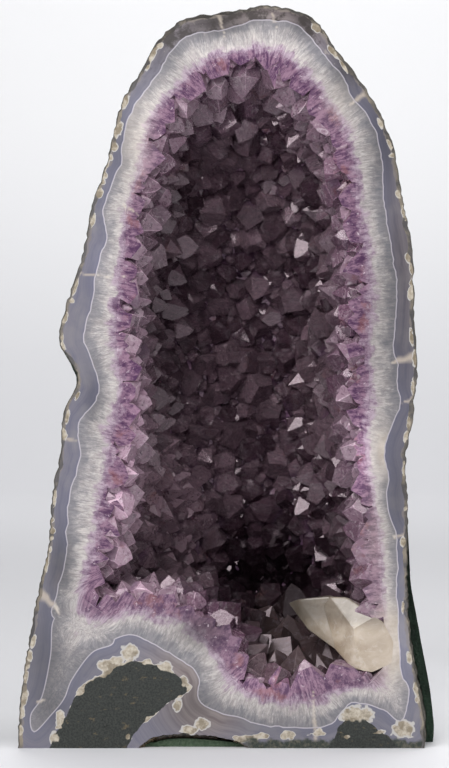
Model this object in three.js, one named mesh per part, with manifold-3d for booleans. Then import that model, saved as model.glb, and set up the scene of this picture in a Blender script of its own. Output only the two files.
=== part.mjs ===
// An amethyst cathedral: a tall geode sawn open along a vertical plane and sawn flat underneath, so it
// stands on its own foot. Its wall is a stack of mineral layers, each one a deep bowl that opens at the
// sawn face: basalt rind, banded agate, milky quartz, and a druse of amethyst crystals round the cavity,
// which flares at its mouth. Calcite crystals grew low on the right, two lumps of basalt are caught in the
// agate, and a coat of painted cement covers the back and fills the hollow under the foot.
// Millimetres, +Z up. The sawn face looks along -Y, and the cavity runs back along +Y.
import * as THREE from "three";
import { ConvexGeometry } from "three/addons/geometries/ConvexGeometry.js";
import { mergeVertices } from "three/addons/utils/BufferGeometryUtils.js";
import Module from "manifold-3d";

const wasm = await Module();
wasm.setup();

// Driving dimensions.
const STONE_DEPTH = 182; // the geode, front to back at its fullest
const RIND_THICKNESS = 2.8;
const QUARTZ_DEPTH = 162; // outside of the milky quartz
const DRUSE_DEPTH = 146; // outside of the druse, where its crystals take root
const CAVITY_DEPTH = 134; // wall of the cavity, between the crystals
const DRUSE_SHARE = 0.4; // of the wall between the agate and the cavity, at the sawn face
const FLARE_SHARE = 0.33; // of the same wall, by which the cavity's mouth is wider
const FLARE_DEPTH = 13; // where the flare ends, behind the sawn face
const CEMENT_THICKNESS = 5; // at the back
const CEMENT_START = 28; // how far behind the sawn face the cement begins
const TAIL_COVER = 3; // least agate outside the quartz tail
const FOOT_THICKNESS = 2.6; // cement under the stone
const FOOT_START = 6.5; // the stone's own lip stands in front of the foot
const FOOT_INSET = 1; // of the foot, inside the stone's skin
const GAP = 0.3; // between neighbouring layers
const CALCITE_ROOM = 0.6; // round the corners of the calcite, which leaves about the same gap at its faces
const OVERRUN = 2; // how far a cutting shape runs past the face that it opens
const ALL = 600; // larger than the object, for cuts by a plane

// Outlines in the sawn face, as [x, z], clockwise from the lower left. The stone once went on below the
// foot, so the outer ones do too, and the saw cuts them at z = 0.
const SKIN_OUTLINE = [
  [-124, 0], [-123, 26], [-119, 56], [-113, 90], [-106, 123], [-103, 157], [-98, 181], [-97, 202],
  [-88, 225], [-99, 246], [-95, 269], [-86, 296], [-79, 330], [-70, 357], [-61, 393], [-49, 412],
  [-38, 431], [-23, 443], [-6, 446], [14, 449], [24, 451], [41, 449], [57, 442], [69, 425],
  [83, 407], [95, 388], [105, 363], [110, 333], [115, 308], [117, 284], [117, 260], [119, 229],
  [116, 199], [112, 175], [113, 151], [113, 123], [113, 96], [115, 66], [120, 35], [123, 17],
  [123, 0], [116, -36], [88, -68], [44, -86], [0, -92], [-48, -86], [-92, -68], [-118, -36],
];
const CEMENT_OUTLINE = [
  [-127, 0], [-126, 28], [-122, 57], [-116, 91], [-109, 124], [-106, 158], [-101, 182], [-100, 203],
  [-92, 225], [-102, 247], [-98, 270], [-89, 297], [-82, 331], [-73, 358], [-64, 394], [-52, 414],
  [-40, 433], [-24, 446], [-7, 449], [14, 452], [25, 454], [42, 452], [59, 445], [72, 427],
  [86, 409], [98, 390], [108, 364], [113, 334], [118, 309], [120, 284], [120, 260], [122, 229],
  [119, 199], [115, 175], [116, 151], [117, 123], [118, 96], [121, 66], [126, 35], [128, 17],
  [128, 0], [120, -40], [91, -73], [46, -91], [0, -97], [-50, -91], [-95, -73], [-121, -40],
];
const QUARTZ_OUTLINE = [
  [-102, 78], [-100, 93], [-95, 114], [-94, 132], [-92, 157], [-86, 175], [-87, 192], [-86, 200],
  [-75, 215], [-79, 236], [-84, 248], [-80, 266], [-76, 290], [-70, 311], [-72, 327], [-66, 345],
  [-61, 356], [-60, 367], [-57, 381], [-51, 393], [-39, 409], [-30, 424], [-19, 433], [1, 436],
  [18, 441], [35, 441], [47, 438], [61, 422], [75, 405], [78, 396], [90, 381], [97, 357],
  [98, 333], [103, 302], [106, 278], [104, 242], [107, 232], [106, 220], [108, 209], [99, 184],
  [101, 164], [100, 148], [106, 126], [106, 96], [108, 50], [113, 35], [109, 17], [96, 24],
  [78, 27], [64, 14], [35, 13], [11, 18], [-13, 28], [-15, 45], [-32, 58], [-56, 69], [-79, 62],
];
const QUARTZ_TAIL_OUTLINE = [
  [-114, 10], [-116, 20], [-109, 32], [-104, 56], [-102, 78], [-90, 86], [-70, 76], [-66, 64], [-79, 58],
  [-91, 42], [-96, 30], [-104, 20],
];
const CAVITY_OUTLINE = [
  [-76, 90], [-69, 114], [-63, 138], [-59, 163], [-57, 181], [-53, 211], [-54, 236], [-54, 272],
  [-52, 302], [-49, 327], [-42, 351], [-33, 381], [-19, 396], [0, 409], [20, 414], [36, 409],
  [50, 395], [63, 378], [70, 354], [75, 327], [78, 302], [80, 272], [78, 236], [79, 199],
  [80, 175], [86, 151], [90, 120], [92, 90], [96, 60], [90, 46], [72, 41], [47, 39],
  [24, 41], [12, 52], [2, 69], [-11, 84], [-25, 91], [-56, 93],
];
const LUMP_OUTLINE = [
  [-106, -8], [-103, 3], [-97, 16], [-86, 35], [-74, 44], [-57, 52], [-44, 51], [-30, 46],
  [-21, 35], [-33, 27], [-51, 12], [-66, -8],
];
const CHIP_LUMP_OUTLINE = [[67, -6], [70, 10], [75, 17], [84, 20], [93, 12], [103, 5], [109, -6]];

// The broken notch in the front of the foot, and the roll of cement that shows in it.
const NOTCH_OUTLINE = [[-47, -4], [-45, 5], [-38, 8], [-19, 8.5], [0, 6], [12, 3], [16, -4]];
const NOTCH_DEPTH = 13;
const ROLL_OUTLINE = [[-42, -2], [-41, 2.6], [-24, 5], [8, 2.4], [9, -2]];
const ROLL_END = 11;

// How a bowl closes towards its back: the share of its width and height left at each share of its depth.
const SECTIONS = [0, 0.22, 0.45, 0.65, 0.81, 0.93];
const widthLeft = (share) => (1 - share ** 2.4) ** (1 / 2.4);
const heightLeft = (share) => (1 - share ** 2) ** (1 / 1.8);
const STONE_CENTRE = new THREE.Vector2(4, 92);
const CAVITY_CENTRE = new THREE.Vector2(8, 96);
const LEAN_TOP = 210; // the stone swells to the right behind its face, below this height

// ---- Flat outlines ----

const toPoints = (pairs) => pairs.map(([x, z]) => new THREE.Vector2(x, z));

// A clockwise outline moved outwards by a distance, or inwards if that is negative.
function offset(outline, distance) {
  const n = outline.length;
  return outline.map((p, i) => {
    const along = outline[(i + 1) % n].clone().sub(outline[(i + n - 1) % n]).normalize();
    return new THREE.Vector2(p.x - along.y * distance, p.y + along.x * distance);
  });
}

function nearestOn(outline, p) {
  let best = null;
  outline.forEach((a, i) => {
    const b = outline[(i + 1) % outline.length];
    const edge = b.clone().sub(a);
    const share = THREE.MathUtils.clamp(p.clone().sub(a).dot(edge) / edge.lengthSq(), 0, 1);
    const foot = a.clone().addScaledVector(edge, share);
    if (!best || foot.distanceTo(p) < best.distanceTo(p)) best = foot;
  });
  return best;
}

// An outline part of the way from one to another that is round it.
const between = (inner, outer, share) => inner.map((p) => p.clone().lerp(nearestOn(outer, p), share));

// ---- Solids ----

// A closed three.js geometry as a manifold-3d solid.
function solid(geometry) {
  const bare = geometry.clone();
  bare.deleteAttribute("normal");
  bare.deleteAttribute("uv");
  const merged = mergeVertices(bare, 1e-4);
  const triangles = [];
  for (let i = 0; i < merged.index.count; i += 3) {
    const [a, b, c] = merged.index.array.slice(i, i + 3);
    if (a !== b && b !== c && c !== a) triangles.push(a, b, c);
  }
  const vertProperties = merged.attributes.position.array;
  const triVerts = new Uint32Array(triangles);
  return new wasm.Manifold(new wasm.Mesh({ numProp: 3, vertProperties, triVerts }));
}

function box(low, high) {
  const size = high.map((h, i) => h - low[i]);
  const middle = high.map((h, i) => (h + low[i]) / 2);
  return solid(new THREE.BoxGeometry(...size).translate(...middle));
}

// A flat end to a ring of points, turned to look along -Y (side 1) or +Y (side -1).
function flatEnd(ring, start, side) {
  const flat = ring.map((p) => new THREE.Vector2(p.x, p.z));
  return THREE.ShapeUtils.triangulateShape(flat, []).map(([a, b, c]) => {
    const area = THREE.ShapeUtils.area([flat[a], flat[b], flat[c]]);
    const turned = area * side > 0 ? [a, b, c] : [c, b, a];
    return turned.map((i) => i + start);
  });
}

// A closed solid through rings of points with one count, from front to back, ending flat or in a point.
function loft(rings, tip = null) {
  const n = rings[0].length;
  const faces = flatEnd(rings[0], 0, 1);
  for (let start = 0; start < n * (rings.length - 1); start += n) {
    for (let i = 0; i < n; i++) {
      const [a, b] = [start + i, start + ((i + 1) % n)];
      faces.push([a, b, b + n], [a, b + n, a + n]);
    }
  }
  const last = n * (rings.length - 1);
  if (tip) {
    for (let i = 0; i < n; i++) faces.push([last + i, last + ((i + 1) % n), last + n]);
  } else {
    faces.push(...flatEnd(rings.at(-1), last, -1));
  }
  const geometry = new THREE.BufferGeometry().setFromPoints([...rings.flat(), ...(tip ? [tip] : [])]);
  geometry.setIndex(faces.flat());
  return solid(geometry);
}

const ringAt = (outline, y) => outline.map((p) => new THREE.Vector3(p.x, y, p.y));

// An outline run back along +Y, narrowing to a share of its size, with a clearance if it cuts.
function plug({ outline, depth, narrowing }, front = 0, clearance = 0) {
  const middle = outline.reduce((sum, p) => sum.add(p), new THREE.Vector2()).divideScalar(outline.length);
  const ring = (y) => {
    const share = 1 - ((1 - narrowing) * y) / depth;
    const narrowed = outline.map((p) => p.clone().sub(middle).multiplyScalar(share).add(middle));
    return ringAt(offset(narrowed, clearance), y);
  };
  return loft([ring(front), ring(depth + clearance)]);
}

// ---- The bowls ----

// Where a bowl's wall is in a section at a share of its depth, for one point of its outline. A bowl with a
// mouth is as wide as that at the sawn face.
function inSection({ outline, mouth = outline, depth, centre, lean }, index, share) {
  const flare = Math.max(0, 1 - (share * depth) / FLARE_DEPTH);
  const p = outline[index].clone().lerp(mouth[index], flare);
  const low = THREE.MathUtils.clamp(1 - p.y / LEAN_TOP, 0, 1);
  return new THREE.Vector2(
    centre.x + (p.x - centre.x) * widthLeft(share) + lean * Math.sin(Math.PI * share) * low,
    centre.y + (p.y - centre.y) * heightLeft(share),
  );
}

// The whole block inside a bowl's wall, with a clearance outside it.
function block(bowl, clearance = 0, front = 0) {
  const section = (share) => offset(bowl.outline.map((_, i) => inSection(bowl, i, share)), clearance);
  const shares = bowl.mouth ? [0, FLARE_DEPTH / bowl.depth, ...SECTIONS.slice(1)] : SECTIONS;
  const rings = shares.map((share) => ringAt(section(share), bowl.depth * share));
  if (front < 0) rings.unshift(ringAt(section(0), front));
  return loft(rings, new THREE.Vector3(bowl.centre.x, bowl.depth + clearance, bowl.centre.y));
}

// A block that opens a hollow, so it runs out past the sawn face.
const hollow = (bowl) => block(bowl, 0, -OVERRUN);

const skinBowl = { outline: toPoints(SKIN_OUTLINE), depth: STONE_DEPTH, centre: STONE_CENTRE, lean: 8 };
const cementBowl = {
  ...skinBowl,
  outline: toPoints(CEMENT_OUTLINE),
  depth: STONE_DEPTH + CEMENT_THICKNESS,
};
const agateBowl = {
  ...skinBowl,
  outline: offset(skinBowl.outline, -RIND_THICKNESS),
  depth: STONE_DEPTH - RIND_THICKNESS,
};
const quartzBowl = {
  outline: toPoints(QUARTZ_OUTLINE),
  depth: QUARTZ_DEPTH,
  centre: CAVITY_CENTRE,
  lean: 6,
};
const quartzTail = { outline: toPoints(QUARTZ_TAIL_OUTLINE), depth: 58, narrowing: 0.8 };
const cavityOutline = toPoints(CAVITY_OUTLINE);
const cavityBowl = {
  outline: cavityOutline,
  mouth: between(cavityOutline, quartzBowl.outline, FLARE_SHARE),
  depth: CAVITY_DEPTH,
  centre: CAVITY_CENTRE,
  lean: 4,
};
const druseBowl = {
  outline: between(cavityOutline, quartzBowl.outline, DRUSE_SHARE),
  depth: DRUSE_DEPTH,
  centre: CAVITY_CENTRE,
  lean: 4,
};

// ---- Crystals ----

// A six-sided crystal with its root below the origin: a short prism, and a point that leans to one side.
function sixSided(radius, root, shoulder, tip, lean) {
  const profile = [[0, -root], [radius, -root], [radius, shoulder], [0, tip]];
  const crystal = new THREE.LatheGeometry(toPoints(profile), 6).rotateX(Math.PI / 2);
  const corners = crystal.getAttribute("position");
  for (let i = 0; i < corners.count; i++) {
    if (corners.getZ(i) > (shoulder + tip) / 2) corners.setX(i, lean);
  }
  return crystal;
}

// Stands a crystal at a place, turned about its own length and then with its point along a direction.
function planted(geometry, place, direction, spin) {
  const up = new THREE.Vector3(0, 0, 1);
  const turn = new THREE.Quaternion().setFromUnitVectors(up, direction.clone().normalize());
  const own = new THREE.Quaternion().setFromAxisAngle(up, spin);
  return solid(geometry.applyQuaternion(turn.multiply(own)).translate(place.x, place.y, place.z));
}

// A repeatable scatter between 0 and 1.
function scatter(n, salt) {
  const s = Math.sin(n * 12.9898 + salt * 78.233) * 43758.5453;
  return s - Math.floor(s);
}

function wallPoint(bowl, index, share) {
  const n = bowl.outline.length;
  const p = inSection(bowl, (index + n) % n, share);
  return new THREE.Vector3(p.x, bowl.depth * share, p.y);
}

// The direction from a bowl's wall into its hollow.
function inward(bowl, index, share) {
  const at = (i, v) => wallPoint(bowl, i, v);
  const along = at(index + 1, share).sub(at(index - 1, share));
  const back = at(index, share + 0.02).sub(at(index, share - 0.02));
  return back.cross(along).normalize();
}

// The largest amethysts, in rows at shares of the cavity's depth.
const CRYSTAL_ROWS = [
  { share: 0.07, count: 19 },
  { share: 0.34, count: 17 },
  { share: 0.56, count: 14 },
  { share: 0.75, count: 10 },
  { share: 0.9, count: 6 },
];
const CRYSTAL_RADIUS = [8, 12];
const CRYSTAL_ROOT = 6;
const CRYSTAL_SHOULDER = 0.25; // of the radius
const CRYSTAL_TIP = 1.4; // of the radius
const CRYSTAL_LEAN = 0.45; // most that a point stands off its own axis, of the radius
const CRYSTAL_TILT = 0.5;

function largeCrystals() {
  const places = CRYSTAL_ROWS.flatMap(({ share, count }, row) =>
    Array.from({ length: count }, (_, i) => ({ share, around: (i + 0.5 * (row % 2)) / count })),
  );
  return places.map(({ share, around }, n) => {
    const count = cavityBowl.outline.length;
    const index = Math.floor(around * count + scatter(n, 1)) % count;
    const depth = share + 0.04 * (scatter(n, 2) - 0.5);
    const radius = THREE.MathUtils.lerp(...CRYSTAL_RADIUS, scatter(n, 3));
    const tilt = new THREE.Vector3(scatter(n, 4) - 0.5, scatter(n, 5) - 0.5, scatter(n, 6) - 0.5);
    const direction = inward(cavityBowl, index, depth).addScaledVector(tilt, CRYSTAL_TILT);
    const [shoulder, tip] = [radius * CRYSTAL_SHOULDER, radius * CRYSTAL_TIP];
    const shape = sixSided(radius, CRYSTAL_ROOT, shoulder, tip, radius * CRYSTAL_LEAN * scatter(n, 8));
    return planted(shape, wallPoint(cavityBowl, index, depth), direction, scatter(n, 7));
  });
}

// Two blunt calcite crystals grown together, as the corners of each: a wedge that points left over the
// hollow, and a block in front of its root.
const CALCITES = [
  [
    [41, 38, 85], [47, 30, 88], [66, 24, 90], [68, 48, 89], [78, 20, 80], [82, 22, 58],
    [70, 27, 57], [53, 33, 69], [82, 50, 60], [86, 48, 80],
  ],
  [
    [62, 16, 85], [66, 12, 91], [76, 9, 91], [89, 4, 83], [98, -3, 76], [104, -4, 65], [103, -4, 51],
    [92, -4, 46], [79, 3, 48], [69, 11, 59], [81, -1, 71], [72, 36, 88], [96, 32, 80], [104, 28, 60],
    [84, 34, 48],
  ],
];

// Calcite crystals as one solid, with each corner moved out from its crystal's middle by a clearance. The
// block runs on in front of the sawn face, where the saw cut it.
function calcite(clearance) {
  const crystals = CALCITES.map((places) => {
    const corners = places.map((place) => new THREE.Vector3(...place));
    const sum = corners.reduce((total, p) => total.add(p), new THREE.Vector3());
    const middle = sum.divideScalar(corners.length);
    const outwards = (p) => p.clone().sub(middle).normalize();
    return solid(new ConvexGeometry(corners.map((p) => p.clone().addScaledVector(outwards(p), clearance))));
  });
  return crystals[0].add(crystals[1]);
}

// ---- The pieces ----

const behindFace = box([-ALL, 0, -ALL], [ALL, ALL, ALL]);
const aboveFloor = box([-ALL, -ALL, 0], [ALL, ALL, ALL]);
const footHollow = box([-ALL, FOOT_START - GAP, -ALL], [ALL, ALL, FOOT_THICKNESS + GAP]);
const notch = plug({ outline: toPoints(NOTCH_OUTLINE), depth: NOTCH_DEPTH, narrowing: 0.8 }, -OVERRUN);
const roll = plug({ outline: toPoints(ROLL_OUTLINE), depth: ROLL_END, narrowing: 1 }, FOOT_START);

// The basalt lumps, and the beds that they lie in.
const LUMPS = [
  { name: "basalt_lump", outline: toPoints(LUMP_OUTLINE), depth: 62, narrowing: 0.75 },
  { name: "basalt_chip", outline: toPoints(CHIP_LUMP_OUTLINE), depth: 44, narrowing: 0.75 },
];
const beds = LUMPS.map((lump) => plug(lump, -OVERRUN, GAP)).reduce((sum, bed) => sum.add(bed));
const calciteBed = calcite(CALCITE_ROOM);
const standing = (stone) => stone.intersect(aboveFloor).subtract(footHollow);

const rind = standing(block(skinBowl).subtract(hollow(agateBowl)).subtract(beds).subtract(notch));
const tail = (front, clearance) =>
  plug(quartzTail, front, clearance).intersect(block(agateBowl, clearance - TAIL_COVER, front));
const agate = standing(
  block(agateBowl, -GAP)
    .subtract(hollow(quartzBowl))
    .subtract(tail(-OVERRUN, 0))
    .subtract(beds)
    .subtract(notch),
);
const quartz = block(quartzBowl, -GAP)
  .add(tail(0, -GAP))
  .subtract(hollow(druseBowl))
  .subtract(beds)
  .subtract(calciteBed);
const druseRoom = block(druseBowl, -GAP);
const druse = largeCrystals()
  .reduce((sum, crystal) => sum.add(crystal), druseRoom.subtract(hollow(cavityBowl)))
  .intersect(druseRoom)
  .subtract(calciteBed);

const stoneHole = block(skinBowl, GAP).intersect(box([-ALL, -ALL, FOOT_THICKNESS], [ALL, ALL, ALL]));
const underStone = box([-ALL, FOOT_START, 0], [ALL, ALL, FOOT_THICKNESS]);
const footPad = block(skinBowl, -FOOT_INSET).intersect(underStone);
const cement = block(cementBowl)
  .subtract(stoneHole)
  .intersect(box([-ALL, CEMENT_START, 0], [ALL, ALL, ALL]))
  .add(footPad)
  .add(roll)
  .intersect(aboveFloor);

const lumpPiece = (lump) => ({
  name: lump.name,
  made: standing(plug(lump)),
  colour: 0x282b26,
  roughness: 0.6,
});
const PIECES = [
  { name: "cement_back", made: cement, colour: 0x1d2a20, roughness: 0.9 },
  { name: "basalt_rind", made: rind, colour: 0x3b3d36, roughness: 0.85 },
  { name: "agate_wall", made: agate, colour: 0x5f6475, roughness: 0.25 },
  { name: "quartz_wall", made: quartz, colour: 0xb9b4b2, roughness: 0.3 },
  { name: "amethyst_druse", made: druse, colour: 0x5a3f68, roughness: 0.12 },
  { name: "calcite_cluster", made: calcite(0).intersect(behindFace), colour: 0xb8a98d, roughness: 0.35 },
  ...LUMPS.map(lumpPiece),
];

function pieceMesh({ name, made, colour, roughness }) {
  const { vertProperties, triVerts, numProp } = made.getMesh();
  const position = new Float32Array((vertProperties.length / numProp) * 3);
  for (let i = 0; i < position.length / 3; i++) {
    position.set(vertProperties.subarray(i * numProp, i * numProp + 3), i * 3);
  }
  const geometry = new THREE.BufferGeometry()
    .setAttribute("position", new THREE.BufferAttribute(position, 3))
    .setIndex(new THREE.BufferAttribute(triVerts, 1));
  geometry.computeVertexNormals();
  const material = new THREE.MeshStandardMaterial({ color: colour, roughness, metalness: 0 });
  const mesh = new THREE.Mesh(geometry, material);
  mesh.name = name;
  return mesh;
}

// The frame's origin is on the floor, under the middle of the whole geode.
const geode = new THREE.Group();
geode.add(...PIECES.map(pieceMesh));
const extent = new THREE.Box3().setFromObject(geode);
const middle = extent.getCenter(new THREE.Vector3());
geode.position.set(-middle.x, -middle.y, -extent.min.z);

export default geode;
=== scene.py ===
import math
import random

import bmesh
import bpy
import numpy as np
from mathutils import Matrix, Vector, noise
from mathutils.geometry import delaunay_2d_cdt


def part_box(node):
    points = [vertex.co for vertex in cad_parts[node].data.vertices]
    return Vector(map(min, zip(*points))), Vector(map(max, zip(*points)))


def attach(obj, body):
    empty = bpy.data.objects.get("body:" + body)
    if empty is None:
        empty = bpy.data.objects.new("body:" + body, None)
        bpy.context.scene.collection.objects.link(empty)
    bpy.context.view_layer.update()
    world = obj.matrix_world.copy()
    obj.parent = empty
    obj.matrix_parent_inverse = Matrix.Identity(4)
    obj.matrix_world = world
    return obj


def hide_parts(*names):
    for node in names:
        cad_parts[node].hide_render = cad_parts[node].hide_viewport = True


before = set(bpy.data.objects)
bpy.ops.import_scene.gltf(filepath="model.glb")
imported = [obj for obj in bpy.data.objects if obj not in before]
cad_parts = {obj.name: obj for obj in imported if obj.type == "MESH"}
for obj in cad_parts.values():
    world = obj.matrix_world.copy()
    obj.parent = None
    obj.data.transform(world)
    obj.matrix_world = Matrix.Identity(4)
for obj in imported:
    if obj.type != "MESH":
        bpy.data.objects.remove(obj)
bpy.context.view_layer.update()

# ---- Where the layers run, as in the CAD: [x, z] in the sawn face ----

SKIN = [
    [-124, 0], [-123, 26], [-119, 56], [-113, 90], [-106, 123], [-103, 157], [-98, 181], [-97, 202],
    [-88, 225], [-99, 246], [-95, 269], [-86, 296], [-79, 330], [-70, 357], [-61, 393], [-49, 412],
    [-38, 431], [-23, 443], [-6, 446], [14, 449], [24, 451], [41, 449], [57, 442], [69, 425],
    [83, 407], [95, 388], [105, 363], [110, 333], [115, 308], [117, 284], [117, 260], [119, 229],
    [116, 199], [112, 175], [113, 151], [113, 123], [113, 96], [115, 66], [120, 35], [123, 17],
    [123, 0], [116, -36], [88, -68], [44, -86], [0, -92], [-48, -86], [-92, -68], [-118, -36],
]
CEMENT = [
    [-127, 0], [-126, 28], [-122, 57], [-116, 91], [-109, 124], [-106, 158], [-101, 182], [-100, 203],
    [-92, 225], [-102, 247], [-98, 270], [-89, 297], [-82, 331], [-73, 358], [-64, 394], [-52, 414],
    [-40, 433], [-24, 446], [-7, 449], [14, 452], [25, 454], [42, 452], [59, 445], [72, 427],
    [86, 409], [98, 390], [108, 364], [113, 334], [118, 309], [120, 284], [120, 260], [122, 229],
    [119, 199], [115, 175], [116, 151], [117, 123], [118, 96], [121, 66], [126, 35], [128, 17],
    [128, 0], [120, -40], [91, -73], [46, -91], [0, -97], [-50, -91], [-95, -73], [-121, -40],
]
QUARTZ = [
    [-102, 78], [-100, 93], [-95, 114], [-94, 132], [-92, 157], [-86, 175], [-87, 192], [-86, 200],
    [-75, 215], [-79, 236], [-84, 248], [-80, 266], [-76, 290], [-70, 311], [-72, 327], [-66, 345],
    [-61, 356], [-60, 367], [-57, 381], [-51, 393], [-39, 409], [-30, 424], [-19, 433], [1, 436],
    [18, 441], [35, 441], [47, 438], [61, 422], [75, 405], [78, 396], [90, 381], [97, 357],
    [98, 333], [103, 302], [106, 278], [104, 242], [107, 232], [106, 220], [108, 209], [99, 184],
    [101, 164], [100, 148], [106, 126], [106, 96], [108, 50], [113, 35], [109, 17], [96, 24],
    [78, 27], [64, 14], [35, 13], [11, 18], [-13, 28], [-15, 45], [-32, 58], [-56, 69], [-79, 62],
]
QUARTZ_TAIL = [
    [-114, 10], [-116, 20], [-109, 32], [-104, 56], [-102, 78], [-90, 86], [-70, 76], [-66, 64],
    [-79, 58], [-91, 42], [-96, 30], [-104, 20],
]
CAVITY = [
    [-76, 90], [-69, 114], [-63, 138], [-59, 163], [-57, 181], [-53, 211], [-54, 236], [-54, 272],
    [-52, 302], [-49, 327], [-42, 351], [-33, 381], [-19, 396], [0, 409], [20, 414], [36, 409],
    [50, 395], [63, 378], [70, 354], [75, 327], [78, 302], [80, 272], [78, 236], [79, 199],
    [80, 175], [86, 151], [90, 120], [92, 90], [96, 60], [90, 46], [72, 41], [47, 39],
    [24, 41], [12, 52], [2, 69], [-11, 84], [-25, 91], [-56, 93],
]
LUMP = [
    [-106, -8], [-103, 3], [-97, 16], [-86, 35], [-74, 44], [-57, 52], [-44, 51], [-30, 46],
    [-21, 35], [-33, 27], [-51, 12], [-66, -8],
]
CHIP = [[67, -6], [70, 10], [75, 17], [84, 20], [93, 12], [103, 5], [109, -6]]
NOTCH = [[-47, -4], [-45, 5], [-38, 8], [-19, 8.5], [0, 6], [12, 3], [16, -4]]
ROLL = [[-42, -2], [-41, 2.6], [-24, 5], [8, 2.4], [9, -2]]

STONE_DEPTH = 182
RIND_THICKNESS = 2.8
RIND_AT_FACE = 2.4
QUARTZ_DEPTH = 162
DRUSE_DEPTH = 146
CAVITY_DEPTH = 134
DRUSE_SHARE = 0.4
FLARE_SHARE = 0.33  # of the wall at the sawn face, where the crystals stand free of the cut
FLARE_DEPTH = 13
CEMENT_THICKNESS = 5
CEMENT_START = 28
FOOT_THICKNESS = 2.6
FOOT_START = 6.5
STONE_CENTRE = (4, 92)
CAVITY_CENTRE = (8, 96)
LEAN_TOP = 210
ALL = 600
CHUNK = 2000  # points measured at a time

MM = 0.001
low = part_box("basalt_rind")[0]
SHIFT = Vector((low[0] + 124 * MM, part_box("agate_wall")[0][1], 0))
EYE = (SHIFT.x + 0.0015, SHIFT.y - 1.6, 0.221)
KEY = (-0.75, -1.55, 1.35)


def in_stone(place):
    """A place in the frame's metres, in the stone's own millimetres."""
    return (np.array(place) - np.array(SHIFT)) / MM


# ---- Flat lines ----

def smooth_loop(points, count):
    """A closed smooth line through points, cut into count equal steps."""
    p = np.array(points, float)
    n = len(p)
    t = np.linspace(0, n, n * 24, endpoint=False)
    i = t.astype(int)
    f = (t - i)[:, None]
    a, b, c, d = p[(i - 1) % n], p[i % n], p[(i + 1) % n], p[(i + 2) % n]
    bend = (2 * a - 5 * b + 4 * c - d) * f**2 + (3 * b - a - 3 * c + d) * f**3
    return even_steps(0.5 * (2 * b + (c - a) * f + bend), count)


def even_steps(loop, count):
    closed = np.vstack([loop, loop[:1]])
    along = np.concatenate([[0], np.cumsum(np.linalg.norm(np.diff(closed, axis=0), axis=1))])
    at = np.linspace(0, along[-1], count, endpoint=False)
    return np.stack([np.interp(at, along, closed[:, k]) for k in (0, 1)], axis=1)


def offset(loop, distance):
    """A clockwise loop moved outwards by a distance, which may vary from point to point."""
    along = np.roll(loop, -1, axis=0) - np.roll(loop, 1, axis=0)
    along /= np.linalg.norm(along, axis=1)[:, None]
    return loop + np.stack([-along[:, 1], along[:, 0]], axis=1) * np.asarray(distance).reshape(-1, 1)


def nearest_edge(a, b, points):
    """The nearest point on the edges from a to b to each point, and how far off it is."""
    edge = b - a
    length = np.maximum((edge**2).sum(1), 1e-9)
    foot = np.empty_like(points)
    far = np.empty(len(points))
    for start in range(0, len(points), CHUNK):
        p = points[start : start + CHUNK]
        share = ((p[:, None] - a[None]) * edge[None]).sum(2) / length
        on = a[None] + edge[None] * np.clip(share, 0, 1)[..., None]
        gap = ((p[:, None] - on) ** 2).sum(2)
        best = gap.argmin(1)
        rows = np.arange(len(p))
        foot[start : start + CHUNK] = on[rows, best]
        far[start : start + CHUNK] = np.sqrt(gap[rows, best])
    return foot, far


def nearest_on(loop, points):
    """The nearest point of a closed loop to each point, and how far off it is."""
    return nearest_edge(loop, np.roll(loop, -1, axis=0), points)


def between(inner, outer, share):
    return inner + (nearest_on(outer, inner)[0] - inner) * share


def crossed(a, b, points):
    """Which points have an odd number of the edges from a to b on their right."""
    result = np.zeros(len(points), bool)
    for start in range(0, len(points), CHUNK):
        p = points[start : start + CHUNK]
        above = (a[None, :, 1] > p[:, None, 1]) != (b[None, :, 1] > p[:, None, 1])
        with np.errstate(divide="ignore", invalid="ignore"):
            cross = (b[:, 0] - a[:, 0]) * (p[:, None, 1] - a[None, :, 1]) / (b[:, 1] - a[:, 1]) + a[:, 0]
        result[start : start + CHUNK] = (above & (p[:, None, 0] < cross)).sum(1) % 2 == 1
    return result


def inside(loop, points):
    """Which points lie inside a closed loop."""
    return crossed(loop, np.roll(loop, -1, axis=0), points)


def wobble(loop, size, scale, seed, octaves=3):
    """A smooth random number for each point of a loop, about -size to size."""
    return np.array(
        [noise.fractal(Vector((x / scale, z / scale, seed)), 0.6, 2.0, octaves) * size for x, z in loop]
    )


# ---- Solids ----

def width_left(share):
    return np.clip(1 - share**2.4, 0, None) ** (1 / 2.4)


def height_left(share):
    return np.clip(1 - share**2, 0, None) ** (1 / 1.8)


def bowl_point(loop, shares, depth, centre, lean):
    """Points of a bowl's wall: a row for each share of its depth, a column for each point of its loop."""
    s = np.asarray(shares, float)[:, None]
    low_down = np.clip(1 - loop[None, :, 1] / LEAN_TOP, 0, 1)
    x = centre[0] + (loop[None, :, 0] - centre[0]) * width_left(s) + lean * np.sin(np.pi * s) * low_down
    z = centre[1] + (loop[None, :, 1] - centre[1]) * height_left(s)
    return np.stack([x, depth * s + 0 * x, z], axis=2)


def section_shares(count):
    """Shares of a bowl's depth that crowd together towards its back."""
    return np.sin(np.linspace(0, np.pi / 2, count + 1)[:-1])


def lofted(name, rings, tip=None):
    """A closed solid through rings of points from front to back, ending flat or in a point."""
    m, n = rings.shape[:2]
    faces = [tuple(range(n))[::-1]]
    for k in range(m - 1):
        for i in range(n):
            a, b = k * n + i, k * n + (i + 1) % n
            faces.append((a, b, b + n, a + n))
    last = (m - 1) * n
    points = rings.reshape(-1, 3)
    if tip is None:
        faces.append(tuple(range(last, last + n)))
    else:
        points = np.vstack([points, [tip]])
        faces += [(last + i, last + (i + 1) % n, last + n) for i in range(n)]
    return mesh_object(name, points, faces)


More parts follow.
